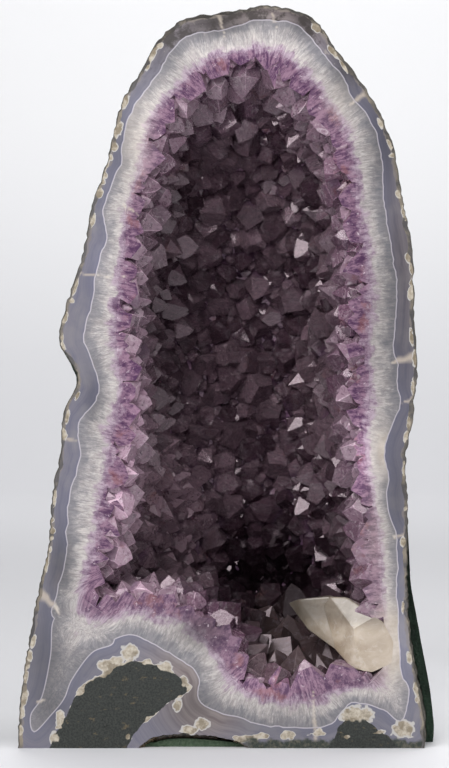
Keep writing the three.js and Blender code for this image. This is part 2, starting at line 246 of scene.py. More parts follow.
def mesh_object(name, points, faces):
    mesh = bpy.data.meshes.new(name)
    mesh.from_pydata([tuple(p) for p in points], [], faces)
    mesh.update()
    obj = bpy.data.objects.new(name, mesh)
    bpy.context.scene.collection.objects.link(obj)
    return obj


def bowl(name, loop, depth, centre, lean, sections=18, front=None):
    rings = bowl_point(loop, section_shares(sections), depth, centre, lean)
    if front is not None:
        first = rings[:1].copy()
        first[..., 1] = front
        rings = np.concatenate([first, rings])
    return lofted(name, rings, (centre[0], depth, centre[1]))


def plug(name, loop, depth, narrowing, front=0.0, steps=10, rough=0.0):
    middle = loop.mean(0)
    ys = np.linspace(0, depth, steps)
    if front:
        ys[0] = front
    rings = []
    for y in ys:
        ring = middle + (loop - middle) * (1 - (1 - narrowing) * y / depth)
        if rough and y > 0:
            ring = offset(ring, wobble(ring, rough, 9, y / 9))
        rings.append(np.stack([ring[:, 0], np.full(len(ring), y), ring[:, 1]], axis=1))
    return lofted(name, np.array(rings))


def block(low_corner, high_corner):
    (a, b, c), (d, e, f) = low_corner, high_corner
    points = [(a, b, c), (d, b, c), (d, e, c), (a, e, c), (a, b, f), (d, b, f), (d, e, f), (a, e, f)]
    faces = [(3, 2, 1, 0), (4, 5, 6, 7), (0, 1, 5, 4), (1, 2, 6, 5), (2, 3, 7, 6), (3, 0, 4, 7)]
    return mesh_object("block", points, faces)


def drop(obj):
    mesh = obj.data
    bpy.data.objects.remove(obj)
    bpy.data.meshes.remove(mesh)


def carve(obj, operation, *tools, keep=False):
    """Joins tools to a solid, or cuts them from it, or keeps what it shares with them."""
    for tool in tools:
        cut = obj.modifiers.new("carve", "BOOLEAN")
        cut.solver = "MANIFOLD"
        cut.operation = operation
        cut.object = tool
        bpy.context.view_layer.update()
        made = bpy.data.meshes.new_from_object(obj.evaluated_get(bpy.context.evaluated_depsgraph_get()))
        obj.modifiers.clear()
        old = obj.data
        obj.data = made
        bpy.data.meshes.remove(old)
        if not keep:
            drop(tool)
    return obj


# ---- The sawn face ----

def mesh_arrays(mesh):
    points = np.empty(len(mesh.vertices) * 3)
    mesh.vertices.foreach_get("co", points)
    return points.reshape(-1, 3)


def refine_face(obj, spacing):
    """Gives the flat sawn face of a solid an even, dense mesh, and leaves its edges where they are."""
    bm = bmesh.new()
    bm.from_mesh(obj.data)
    bmesh.ops.triangulate(bm, faces=bm.faces)
    flat = [f for f in bm.faces if all(abs(v.co.y) < 1e-3 for v in f.verts)]
    chosen = set(flat)
    rim = [e for f in flat for e in f.edges if sum(g in chosen for g in e.link_faces) == 1]
    corners = list({v for e in rim for v in e.verts})
    index = {v: i for i, v in enumerate(corners)}
    line = np.array([(v.co.x, v.co.z) for v in corners])
    edges = [(index[e.verts[0]], index[e.verts[1]]) for e in rim]
    a, b = line[[e[0] for e in edges]], line[[e[1] for e in edges]]
    (x0, z0), (x1, z1) = line.min(0), line.max(0)
    xs = np.arange(x0, x1, spacing)
    zs = np.arange(z0, z1, spacing * 0.87)
    grid = np.array([(x + (j % 2) * spacing / 2, z) for j, z in enumerate(zs) for x in xs])
    grid = grid[crossed(a, b, grid)]
    grid = grid[nearest_edge(a, b, grid)[1] > spacing * 0.45]
    points = [Vector(p) for p in line] + [Vector(p) for p in grid]
    made, _, faces, origin, _, _ = delaunay_2d_cdt(points, edges, [], 0, 1e-5)
    centres = np.array([sum((made[i] for i in f), Vector((0, 0))) / 3 for f in faces])
    kept = crossed(a, b, centres)
    bmesh.ops.delete(bm, geom=flat, context="FACES_ONLY")
    verts = []
    for i, p in enumerate(made):
        source = [s for s in origin[i] if s < len(corners)]
        verts.append(corners[source[0]] if source else bm.verts.new((p.x, 0, p.y)))
    for f, ok in zip(faces, kept):
        trio = [verts[i] for i in f]
        if ok and len(set(trio)) == 3:
            area = (made[f[1]] - made[f[0]]).cross(made[f[2]] - made[f[0]])
            bm.faces.new(trio if area > 0 else trio[::-1])
    loose = [e for e in bm.edges if not e.link_faces]
    bmesh.ops.delete(bm, geom=loose, context="EDGES")
    bm.to_mesh(obj.data)
    bm.free()
    return obj


# ---- The lines of the sawn face ----

SKIN_POINTS = 620
SKIN_STEP = 2.1  # between them
skin_smooth = smooth_loop(SKIN, SKIN_POINTS)
skin_rough = wobble(skin_smooth, 1.6, 11, 3.0) + wobble(skin_smooth, 0.8, 3.5, 9.0)
skin_line = offset(skin_smooth, -np.abs(skin_rough))
agate_line = offset(skin_smooth, -RIND_AT_FACE + np.clip(wobble(skin_smooth, 1.8, 11, 5.0), -1.5, 1.0))
quartz_line = smooth_loop(QUARTZ, 460)
quartz_line = offset(quartz_line, wobble(quartz_line, 0.9, 8, 1.0))
tail_line = smooth_loop(QUARTZ_TAIL, 130)
cavity_line = smooth_loop(CAVITY, 320)
druse_line = between(cavity_line, quartz_line, DRUSE_SHARE)
flare_line = between(cavity_line, quartz_line, FLARE_SHARE)
lump_line = smooth_loop(LUMP, 150)
lump_line = offset(lump_line, wobble(lump_line, 1.2, 7, 2.0))
chip_line = smooth_loop(CHIP, 90)
chip_line = offset(chip_line, wobble(chip_line, 1.2, 6, 4.0))

# Pale nodules in the agate: the ones round the lump, and rows of them along the outer edge.
NODULES = [
    (-56, 58, 6.0, 5.5), (-70, 50, 6.0, 4.0), (-64, 53, 5.0, 3.5), (-34, 49, 4.5, 4.0), (-23, 40, 3.0, 4.0),
    (-98, 18, 3.0, 6.0), (-101, 6, 3.5, 5.0), (-57, 7, 2.6, 2.6), (-12, 15, 5.0, 4.0), (-27, 26, 3.0, 4.0),
    (-20, 11, 6.0, 3.0), (82, 20, 11.0, 6.5), (110, 12, 7.0, 6.0),
]


def edge_nodules():
    """A broken chain of long beads: middle, direction along the edge, half length and half width."""
    rng = random.Random(11)
    beads = []
    i = 0.0
    while i < SKIN_POINTS:
        length, width = rng.uniform(1.4, 6.6), rng.uniform(0.9, 2.7)
        i += length / SKIN_STEP
        at = int(i) % SKIN_POINTS
        ahead = agate_line[(at + 2) % SKIN_POINTS] - agate_line[at - 2]
        ahead /= np.linalg.norm(ahead)
        high = agate_line[at][1]
        wanted = 0.35 if high > 385 else 0.66
        if high > 4 and rng.random() < wanted and noise.noise(Vector((i / 14, 0, 5))) > -0.28:
            depth = rng.uniform(-0.9, 0.5)
            middle = agate_line[at] + np.array([ahead[1], -ahead[0]]) * depth
            beads.append((middle, ahead, length, width))
        i += (length + rng.uniform(-0.6, 1.2)) / SKIN_STEP
    return beads


def nodule_mask(points):
    """How far inside a nodule each point is: 1 at a middle, 0 at an edge and less outside."""
    mask = np.full(len(points), -1.0)
    rough = wobble(points, 0.3, 3.2, 1.0)
    for x, z, rx, rz in NODULES:
        far = np.hypot((points[:, 0] - x) / rx, (points[:, 1] - z) / rz)
        mask = np.maximum(mask, 1 - far + rough)
    for middle, ahead, length, width in edge_nodules():
        d = points - middle
        along = d @ ahead / length
        across = d @ np.array([ahead[1], -ahead[0]]) / width
        mask = np.maximum(mask, 1 - np.hypot(along, across) + rough)
    crust = (0.7 + wobble(points, 2.6, 8, 4.0, 2) - nearest_on(lump_line, points)[1]) / 1.8
    mask = np.maximum(mask, np.where(points[:, 1] > 12, crust + rough, -1))
    row = np.abs(points[:, 1] - 8 - wobble(points, 5.0, 24, 7.0, 1))
    row = (0.6 + wobble(points, 4.5, 9, 2.0, 2) - row) / 2.4
    return np.maximum(mask, np.where(points[:, 0] > 2, row + rough, -1))


def line_distances(points):
    """Signed distance to the white line round the quartz, outside positive."""
    quartz_far = nearest_on(quartz_line, points)[1]
    tail_far = nearest_on(tail_line, points)[1]
    quartz_far = np.where(inside(quartz_line, points), -quartz_far, quartz_far)
    tail_far = np.where(inside(tail_line, points), -tail_far, tail_far)
    return np.minimum(quartz_far, tail_far)


def soft_foot(points, blur=2.5):
    """Where on the white line the fibres through each point start: its near points, blurred together."""
    loop = np.vstack([quartz_line, tail_line])
    foot = np.empty_like(points)
    for start in range(0, len(points), CHUNK):
        p = points[start : start + CHUNK]
        far = np.linalg.norm(p[:, None] - loop[None], axis=2)
        weight = np.exp(-(far - far.min(1)[:, None]) / blur)
        foot[start : start + CHUNK] = weight @ loop / weight.sum(1)[:, None]
    return foot


# Cracks and veins across the layers: from, to, and half the width at their start.
VEINS = [
    ((-92, 288), (-55, 286), 0.7), ((93, 402), (77, 390), 3.0), ((118, 238), (103, 234), 3.2),
    ((116, 213), (108, 208), 0.9), ((-96, 188), (-84, 186), 0.9), ((57, 2), (55, 36), 1.3),
    ((-2, 446), (2, 430), 0.8), ((-116, 100), (-98, 82), 3.5), ((-60, 330), (-48, 322), 0.8),
    ((-113, 28), (-104, 30), 0.8), ((30, 446), (34, 436), 0.7), ((104, 128), (117, 131), 1.2),
]


def vein_mask(points):
    mask = np.zeros(len(points))
    bend = np.array([noise.noise(Vector((x / 4, z / 4, 2.0))) for x, z in points]) * 1.2
    for start, end, width in VEINS:
        start, end = np.array(start, float), np.array(end, float)
        ahead = (end - start) / np.linalg.norm(end - start)
        share = (points - start) @ ahead / np.linalg.norm(end - start)
        across = np.abs((points - start) @ np.array([-ahead[1], ahead[0]]) + bend)
        room = width * (1 - 0.8 * share)
        mask = np.maximum(mask, np.where((share > 0) & (share < 1), np.clip(1.4 - across / room, 0, 1), 0))
    return mask


# Smoky and lighter patches, and painted shade down the right side, of the sawn face: middle, half width and
# height, and how much lighter.
# Below them, where it is cream or brown, in the same way.
SMOKE_AND_SHADE_PATCHES = [
    (-4, 441, 20, 10, -0.75), (26, 448, 15, 9, -0.1), (50, 442, 10, 12, -0.6),
    (76, 418, 12, 22, -0.55), (98, 370, 18, 34, -0.5),
    (107, 255, 22, 62, -0.42), (106, 150, 10, 36, -0.35), (106, 305, 9, 26, -0.2), (-98, 112, 9, 22, -0.5),
    (12, 426, 60, 10, 0.25), (-50, 382, 14, 18, 0.25), (-78, 210, 7, 20, -0.3), (29, 41, 22, 9, 0.4),
    (113, 64, 8, 22, 0.3), (-108, 55, 14, 38, -0.45), (25, 18, 70, 14, -0.2),
    (-12, 72, 18, 12, -0.65), (-102, 25, 16, 12, -0.22), (80, 375, 14, 18, 0.1), (-20, 28, 16, 15, -0.35),
    (-84, 50, 16, 10, -0.2), (66, 290, 9, 40, -0.12), (-74, 296, 8, 14, 0.2),
    (84, 175, 9, 22, 0.7), (-48, 200, 10, 40, 0.2), (-34, 424, 14, 11, -0.4), (-62, 372, 8, 22, -0.25),
]


CREAM = [
    (104, 64, 13, 20, 1.5), (98, 180, 6, 14, 1.0), (92, 125, 8, 30, 0.25), (-54, 378, 12, 34, 0.4),
    (72, 392, 10, 12, 0.3),
]
BROWN = [
    (-22, 48, 24, 26, 1.0), (-8, 20, 22, 14, 1.0), (20, 450, 75, 42, 1.0), (-92, 100, 9, 8, 0.8),
    (112, 300, 12, 60, 0.5),
]


def blob(points, x, z, rx, rz):
    """A soft spot: 1 in its middle, fading out."""
    return np.exp(-(((points[:, 0] - x) / rx) ** 2) - ((points[:, 1] - z) / rz) ** 2)


def blobs(points, spots, ground=0.0):
    return sum((k * blob(points, x, z, rx, rz) for x, z, rx, rz, k in spots), np.full(len(points), ground))


def store(obj, name, values, domain="POINT"):
    kind = "FLOAT" if values.ndim == 1 else "FLOAT_VECTOR"
    layer = obj.data.attributes.new(name, kind, domain)
    layer.data.foreach_set("value" if values.ndim == 1 else "vector", values.ravel())


def mark_face(obj):
    """Stores each point's distances from the layers' lines, and what lies on it, for the materials."""
    points = mesh_arrays(obj.data)[:, (0, 2)]
    line, foot = line_distances(points), soft_foot(points)
    skin = nearest_on(skin_line, points)[1]
    mouth = nearest_on(cavity_line, points)[1]
    mouth = np.where(inside(cavity_line, points), -mouth, mouth)
    store(obj, "line", line)
    store(obj, "skin", np.minimum(skin, 30))
    store(obj, "wall", np.where(mouth > 0, -line / np.maximum(mouth - line, 1e-3), 1 - mouth / 12))
    store(obj, "foot", np.stack([foot[:, 0], 0 * foot[:, 0], foot[:, 1]], axis=1))
    store(obj, "nodule", nodule_mask(points))
    store(obj, "vein", vein_mask(points))
    store(obj, "cream", np.clip(blobs(points, CREAM), 0, 1))
    store(obj, "brown", np.clip(blobs(points, BROWN), 0, 1))
    # How much lighter the sawn face is: smoky and lighter patches, and painted shade down its right side.
    store(obj, "light", blobs(points, SMOKE_AND_SHADE_PATCHES, 1.0))
    edge = points[:, 1] - 5.5 - wobble(points, 2.5, 7, 6.0)
    right = np.clip((points[:, 0] - 6) / 12, 0, 1)
    store(obj, "under", np.clip(-edge / 1.5, 0, 1) * right)


# ---- The stone's layers ----

def stone_bowl(name, line, thinner=0.0, sections=18, front=None):
    return bowl(name, line, STONE_DEPTH - thinner, STONE_CENTRE, 8, sections, front)


def floor_cut(obj):
    carve(obj, "INTERSECT", block((-ALL, -ALL, 0), (ALL, ALL, ALL)))
    return carve(obj, "DIFFERENCE", block((-ALL, FOOT_START, -ALL), (ALL, ALL, FOOT_THICKNESS)))


def lump_bed():
    return plug("bed", lump_line, 62, 0.75, -2)


def chip_bed():
    return plug("bed", chip_line, 44, 0.75, -2)


def notch():
    line = smooth_loop(NOTCH, 90)
    return plug("notch", offset(line, wobble(line, 1.0, 5, 8.0)), 13, 0.8, -2, rough=1.0)


def rough_out(obj, size, scale, seed, start=1.0, fade_in=3.0):
    """Roughens a solid inwards, away from the sawn face and the floor."""
    mesh = obj.data
    mesh.update()
    points = mesh_arrays(mesh)
    normals = np.empty(len(points) * 3)
    mesh.vertex_normals.foreach_get("vector", normals)
    normals = normals.reshape(-1, 3)
    start_at = Vector((seed, 0, 0))
    amount = np.array([abs(noise.fractal(Vector(p) / scale + start_at, 0.7, 2.1, 4)) for p in points])
    fade = np.clip((points[:, 1] - start) / fade_in, 0, 1)
    points -= normals * (amount * size * fade)[:, None]
    mesh.vertices.foreach_set("co", points.ravel())
    mesh.update()
    return obj


def make_rind():
    shares = np.concatenate([np.linspace(0, 0.2, 22), section_shares(14)[2:]])
    rings = bowl_point(skin_line, shares, STONE_DEPTH, STONE_CENTRE, 8)
    rind = lofted("basalt_rind_rough", rings, (STONE_CENTRE[0], STONE_DEPTH, STONE_CENTRE[1]))
    rough_out(rind, 2.4, 9, 1.0)
    inner = stone_bowl("inner", agate_line, RIND_THICKNESS, 12, -2)
    carve(rind, "DIFFERENCE", inner, lump_bed(), chip_bed(), notch())
    floor_cut(rind)
    return refine_face(rind, 1.6)


def quartz_solid(sections=14, front=None):
    solid = bowl("quartz", quartz_line, QUARTZ_DEPTH, CAVITY_CENTRE, 6, sections, front)
    tail = plug("tail", tail_line, 58, 0.8, front or 0.0)
    carve(tail, "INTERSECT", stone_bowl("room", offset(agate_line, -2.6), RIND_THICKNESS + 2.6, 10, front))
    return carve(solid, "UNION", tail)


def druse_room(clearance=0.0, front=None):
    return bowl("room", offset(druse_line, clearance), DRUSE_DEPTH + clearance, CAVITY_CENTRE, 4, 16, front)


def make_agate():
    agate = stone_bowl("agate_bands", agate_line, RIND_THICKNESS, 12)
    carve(agate, "DIFFERENCE", quartz_solid(14, -2), lump_bed(), chip_bed(), notch())
    floor_cut(agate)
    return refine_face(agate, 1.3)


def make_quartz():
    quartz = quartz_solid()
    carve(quartz, "DIFFERENCE", druse_room(0.05, -2), lump_bed(), calcite_block())
    return refine_face(quartz, 1.3)


def make_lump(name, line, depth):
    lump = refine_face(floor_cut(plug(name, line, depth, 0.75, rough=0.8)), 1.3)
    mark_face(lump)
    return lump


def without_dips(line):
    """A line whose side dips are bridged, from above the foot to below the shoulders."""
    cx = STONE_CENTRE[0]
    reach = np.abs(line[:, 0] - cx)
    side = line[:, 0] > cx
    alike = (side[:, None] == side[None]) & (np.abs(line[:, 1][:, None] - line[:, 1][None]) < 30)
    wide = np.where(alike, reach[None], 0).max(1)
    smooth = np.mean([np.roll(wide, k) for k in range(-8, 9)], axis=0)
    used = np.clip((line[:, 1] - 60) / 60, 0, 1) * np.clip((340 - line[:, 1]) / 60, 0, 1)
    wider = reach + np.maximum(smooth - reach, 0) * used
    return np.stack([cx + np.where(side, wider, -wider), line[:, 1]], axis=1)


def make_cement():
    line = smooth_loop(CEMENT, 420)
    line = offset(line, -0.7)
    upper = np.clip((line[:, 1] - 70) / 25, 0, 1) * (np.abs(line[:, 0]) > 40)
    local = 0.4 * blob(line, -92, 225, 10, 14) - 0.6 * blob(line, 117, 120, 14, 34)
    slim = offset(line, -1.5 * upper + local)
    depth = STONE_DEPTH + CEMENT_THICKNESS
    start = CEMENT_START / depth
    shares = start + (1 - start) * section_shares(46)
    lines = (line, without_dips(line), slim)
    rings, even, first = (bowl_point(one, shares, depth, STONE_CENTRE, 8) for one in lines)
    late = np.clip((shares - 0.42) / 0.22, 0, 1)[:, None, None]
    early = np.clip((0.4 - shares) / 0.15, 0, 1)[:, None, None]
    rings = rings + (even - rings) * late + (first - rings) * early
    rings[0, :, 1] += 3 * wobble(line, 1.0, 14, 2.5)
    cement = lofted("cement_coat", rings, (STONE_CENTRE[0], depth, STONE_CENTRE[1]))
    rough_out(cement, 3.2, 30, 4.0, CEMENT_START, 60)
    rough_out(cement, 1.1, 5, 9.0, CEMENT_START, 25)
    hole = stone_bowl("hole", offset(skin_line, 0.2), -0.3, 18, -2)
    carve(hole, "INTERSECT", block((-ALL, -ALL, FOOT_THICKNESS), (ALL, ALL, ALL)))
    carve(cement, "DIFFERENCE", hole)
    pad = stone_bowl("pad", offset(skin_line, -1.5), 2, 12)
    carve(pad, "INTERSECT", block((-ALL, FOOT_START, 0), (ALL, ALL, FOOT_THICKNESS)))
    roll = smooth_loop(ROLL, 60)
    ring = np.stack([roll[:, 0], 0 * roll[:, 0], roll[:, 1]], axis=1)
    roll_solid = lofted("roll", np.array([ring + (0, y, 0) for y in np.linspace(FOOT_START, 11, 5)]))
    carve(cement, "UNION", pad, roll_solid)
    return carve(cement, "INTERSECT", block((-ALL, -ALL, 0), (ALL, ALL, ALL)))


# ---- Amethyst ----

PYRAMID = math.radians(51.8)  # between a crystal's length and the normal of its end faces
TRIPLES = np.array([(i, j, k) for i in range(13) for j in range(i + 1, 13) for k in range(j + 1, 13)])
RIM_DEPTH = 14
EDGE_WIDTH = 0.3
EDGE_DEPTH = 34  # how far back the crystals' edges are worn
# How much lighter the worn edges are: a painted highlight that dims with depth.
EDGE_HIGHLIGHT = 1.3
GLINTS = 44  # crystals that turn an end face to the key light
GLINT_RADII = (3.4, 6.6)
GLINT_TURN = math.cos(math.radians(42))


def unit(rows):
    return rows / np.linalg.norm(rows, axis=1)[:, None]


class Crystals:
    """Places, directions, sizes and turns of many crystals, one row each."""

    def __init__(self, places, directions, radii, prisms, roots, turns):
        self.places = places
        self.directions = unit(directions)
        self.radii, self.prisms, self.roots, self.turns = radii, prisms, roots, turns

    def chosen(self, mask):
        kept = (self.places, self.directions, self.radii, self.prisms, self.roots, self.turns)
        return Crystals(*(values[mask] for values in kept))

    def sideways(self):
        """Two directions square to each crystal's length and to each other."""
        side = unit(np.cross(self.directions, [0.31, 0.17, 0.93]))
        return side, np.cross(self.directions, side)


def turn_to_light(crystals, rng):
    """Leans and turns some crystals deep in the cavity so that an end face of each mirrors the key light."""
    half = unit(unit(in_stone(EYE) - crystals.places) + unit(in_stone(KEY) - crystals.places))
    away = unit(crystals.directions - half * (crystals.directions * half).sum(1)[:, None])
    leaning = half * math.cos(PYRAMID) + away * math.sin(PYRAMID)
    near = (leaning * crystals.directions).sum(1) > GLINT_TURN
    right_size = (crystals.radii > GLINT_RADII[0]) & (crystals.radii < GLINT_RADII[1])
    lit = (painted_light_at(crystals.places) > -0.5) & (low_bowl(crystals.places) < 0.4)
    able = np.flatnonzero(near & right_size & lit & (crystals.places[:, 1] > RIM_DEPTH + 6))
    weight = np.where(crystals.places[able, 0] < 30, 2.2, 1.0)
    picked = rng.choice(able, min(GLINTS, len(able)), replace=False, p=weight / weight.sum())
    crystals.directions[picked] = leaning[picked]
    side, other = crystals.sideways()
    crystals.turns[picked] = np.arctan2((half * other).sum(1), (half * side).sum(1))[picked]
    return crystals


def half_spaces(crystals, rng):
    """Normals and distances of each crystal's six sides, six end faces and foot, along its own length."""
    count = len(crystals.radii)
    azimuth = np.arange(6) * math.pi / 3 + crystals.turns[:, None]
    zero = np.zeros((count, 6))
    sides = np.stack([np.cos(azimuth), np.sin(azimuth), zero], axis=2)
    ends = sides * math.sin(PYRAMID) + (0, 0, math.cos(PYRAMID))
    foot = np.tile([0.0, 0.0, -1.0], (count, 1, 1))
    side_far = crystals.radii[:, None] * rng.uniform(0.84, 1.1, (count, 6))
    top = crystals.prisms[:, None] + crystals.radii[:, None] * 1.27 * rng.uniform(0.93, 1.08, (count, 6))
    top[:, 1::2] *= rng.uniform(1.0, 1.4, (count, 1))
    far = np.concatenate([side_far, top * math.cos(PYRAMID), crystals.roots[:, None]], axis=1)
    return np.concatenate([sides, ends, foot], axis=1), far


def corner_points(normals, far):
    """Where each three planes of a crystal meet, and which of those points are its corners."""
    n1, n2, n3 = (normals[:, TRIPLES[:, k]] for k in range(3))
    d1, d2, d3 = (far[:, TRIPLES[:, k], None] for k in range(3))
    c23, c31, c12 = np.cross(n2, n3), np.cross(n3, n1), np.cross(n1, n2)
    volume = (n1 * c23).sum(2)
    solid = np.abs(volume) > 1e-6
    corners = (d1 * c23 + d2 * c31 + d3 * c12) / np.where(solid, volume, 1)[..., None]
    heights = np.einsum("ktc,kpc->ktp", corners, normals) - far[:, None, :]
    return corners, solid & (heights < 1e-6).all(2)


def crystal_faces(points, normals, far):
    faces = []
    for n, d in zip(normals, far):
        on = np.flatnonzero(np.abs(points @ n - d) < 2e-4)
        if len(on) < 3:
            continue
        u = np.cross(n, [0.36, 0.48, 0.8])
        v = np.cross(n, u)
        out = points[on] - points[on].mean(0)
        faces.append(tuple(on[np.argsort(np.arctan2(out @ v, out @ u))]))
    return faces


def edged(points, faces, first_facet, edge_highlight):
    """A crystal with narrow worn faces along its edges, given a painted highlight: points, faces and each
    face's painted brightness.
    """
    bm = bmesh.new()
    verts = [bm.verts.new(p) for p in points]
    for face in faces:
        bm.faces.new([verts[i] for i in face])
    worn = {"offset": EDGE_WIDTH, "segments": 1, "affect": "EDGES", "clamp_overlap": True}
    made = bmesh.ops.bevel(bm, geom=bm.edges, **worn)
    narrow = set(made["faces"])
    bm.verts.index_update()
    new_points = np.array([tuple(v.co) for v in bm.verts])
    new_faces = [tuple(v.index for v in f.verts) for f in bm.faces]
    facets = [edge_highlight if f in narrow else (first_facet + 0.618 * k) % 1 for k, f in enumerate(bm.faces)]
    bm.free()
    return new_points, new_faces, facets


def is_closed(faces):
    edges = {(face[i - 1], face[i]) for face in faces for i in range(len(face))}
    return len(edges) == sum(map(len, faces)) and all((b, a) in edges for a, b in edges)


def crystal_solids(crystals, rng):
    """Six-sided crystals with uneven ends: each one's points, faces, painted facet brightness, place,
    direction, and its random tone with painted light and shade added.
    """
    normals, far = half_spaces(crystals, rng)
    corners, kept = corner_points(normals, far)
    side, other = crystals.sideways()
    # Each crystal's random tone, with the painted light and shade round the cavity added to it.
    tones_and_painted_light = rng.uniform(0, 1, len(kept)) + painted_light_at(crystals.places)
    made = []
    for c in range(len(kept)):
        points = corners[c][kept[c]]
        _, first = np.unique(np.round(points, 4), axis=0, return_index=True)
        points = points[np.sort(first)]
        faces = crystal_faces(points, normals[c], far[c])
        if not is_closed(faces):
            continue
        # Each face's painted brightness, at random.
        facets = list(rng.uniform(0, 1, len(faces)))
        depth = crystals.places[c][1]
        # The larger crystals near the mouth get worn edges with a painted highlight that dims with depth.
        if crystals.radii[c] > 4.2 and depth < EDGE_DEPTH:
            points, faces, facets = edged(points, faces, facets[0], EDGE_HIGHLIGHT - 0.5 * depth / EDGE_DEPTH)
        world = crystals.places[c] + points @ np.stack([side[c], other[c], crystals.directions[c]])
        made.append((world, faces, facets, crystals.places[c], crystals.directions[c], tones_and_painted_light[c]))
    return made


def cavity_rings(shares):
    """The cavity's wall, which flares towards the sawn face."""
    rings = bowl_point(cavity_line, shares, CAVITY_DEPTH, CAVITY_CENTRE, 4)
    deep = np.clip(shares * CAVITY_DEPTH / FLARE_DEPTH, 0, 1)
    wider = (flare_line - cavity_line)[None] * (1 - deep**1.3)[:, None, None]
    rings[:, :, (0, 2)] += wider
    return rings


def wall_samples(rng, tries):
    """Random places spread evenly over the cavity's wall, and the wall's normals there."""
    grid = cavity_rings(np.concatenate([np.linspace(0, 0.1, 16), np.sin(np.linspace(0.11, 1.565, 105))]))
    around = np.roll(grid, -1, axis=1) - np.roll(grid, 1, axis=1)
    back = np.gradient(grid, axis=0)
    normal = np.cross(back, around)
    area = np.linalg.norm(normal, axis=2)
    normal /= area[..., None]
    cell = rng.choice(area.size, tries, p=(area / area.sum()).ravel())
    row, column = np.unravel_index(cell, area.shape)
    jitter = rng.uniform(-0.5, 0.5, (tries, 2))
    places = grid[row, column] + back[row, column] * jitter[:, :1] + around[row, column] * jitter[:, 1:] / 2
    return places, normal[row, column]


def spread_out(places, spacing, taken=None, room=None):
    """Picks places that keep their own spacing from each other and some room from those taken before."""
    near = np.empty((0, 3)) if taken is None else taken
    needed = np.empty(0) if room is None else room
    kept = []
    for i in range(len(places)):
        gap = np.linalg.norm(near - places[i], axis=1)
        if (gap < needed).any():
            continue
        kept.append(i)
        near = np.vstack([near, places[i]])
        needed = np.append(needed, spacing[i])
    return kept


def apart(centres, reach):
    """Sorts solids into groups in which none touches another."""
    groups = []
    for i, (c, r) in enumerate(zip(centres, reach)):
        for group in groups:
            others = np.array(group)
            if (np.linalg.norm(centres[others] - c, axis=1) > reach[others] + r).all():
                group.append(i)
                break
        else:
            groups.append([i])
    return groups


def crystal_group(name, crystals):
    """One mesh of crystals that don't touch, whose faces remember which crystal they belong to."""
    points, faces, start = [], [], 0
    per_face = {"grown": [], "tone_and_painted_light": [], "facet": [], "root": [], "axis": []}
    for world, own_faces, facets, place, direction, tone_and_painted_light in crystals:
        points.append(world)
        faces += [tuple(v + start for v in face) for face in own_faces]
        start += len(world)
        alike = {"grown": 1.0, "tone_and_painted_light": tone_and_painted_light, "root": place * MM + SHIFT, "axis": direction}
        for key, value in alike.items():
            per_face[key] += [value] * len(own_faces)
        per_face["facet"] += facets
    group = mesh_object(name, np.vstack(points), faces)
    for key, values in per_face.items():
        store(group, key, np.array(values, float), "FACE")
    return group


def grown_together(name, crystals, first=None):
    """One solid made of crystals that overlap, and of a first solid that they stand in."""
    centres = np.array([c[0].mean(0) for c in crystals])
    reach = np.array([np.linalg.norm(c[0] - c[0].mean(0), axis=1).max() for c in crystals])
    whole = first
    for group in apart(centres, reach):
        part = crystal_group(name, [crystals[i] for i in group])
        whole = carve(whole, "UNION", part) if whole else part
    whole.name = name
    return whole


def noise_of(places, scale, seed):
    return np.array([noise.noise(Vector(p) / scale + Vector((seed, seed, seed))) for p in places])


# Painted light and shade on the crystals round each place: middle and half size in x and z, then the depth
# over which it fades, if it does, and how much lighter. Painted shade in the deep hollow, painted light
# above the mound.
PAINTED_LIGHT_SPOTS = [
    (31, 46, 101, 33, None, -1.5), (-40, 30, 140, 50, None, 2.5), (76, 16, 270, 50, 25, -0.6),
    (-50, 14, 235, 75, 30, 1.4), (30, 45, 385, 40, 22, 0.7), (84, 12, 175, 24, 20, 1.2),
    (-26, 40, 80, 15, None, -0.6),
]


def soft_spot(places, x, width, z, height, depth=None):
    across, back, high = places.T
    fade = (back / depth) ** 2 if depth else 0
    return np.exp(-(((across - x) / width) ** 2) - ((high - z) / height) ** 2 - fade)


# Painted light and shade round the cavity, with painted shade over the low bowl.
def painted_light_at(places):
    return sum(k * soft_spot(places, *spot) for *spot, k in PAINTED_LIGHT_SPOTS) - 0.5 * low_bowl(places)


def low_bowl(places):
    """How near each place is to the bowl at the foot of the cavity, where the crystals are largest."""
    return soft_spot(places, 55, 40, 58, 26)


def all_crystals(rng):
    places, normals = wall_samples(rng, 14000)
    spacing = 11.4 + 5 * low_bowl(places) + 5 * noise_of(places, 21, 3.0)
    big = spread_out(places, spacing)
    more, more_normals = wall_samples(rng, 16000)
    small_spacing = 5.6 + 1.5 * noise_of(more, 15, 8.0)
    small = spread_out(more, small_spacing, places[big], spacing[big] * 0.6)
    sizes = np.concatenate([spacing[big], small_spacing[small]])
    places = np.vstack([places[big], more[small]])
    normals = np.vstack([normals[big], more_normals[small]])
    radii = sizes * rng.uniform(0.6, 0.84, len(sizes))
    prisms = radii * rng.uniform(0.0, 0.45, len(sizes)) + 5 * low_bowl(places)
    directions = normals + rng.normal(0, 0.26, normals.shape)
    turns = rng.uniform(0, math.pi / 3, len(sizes))
    return turn_to_light(Crystals(places, directions, radii, prisms, np.full(len(sizes), 5.0), turns), rng)


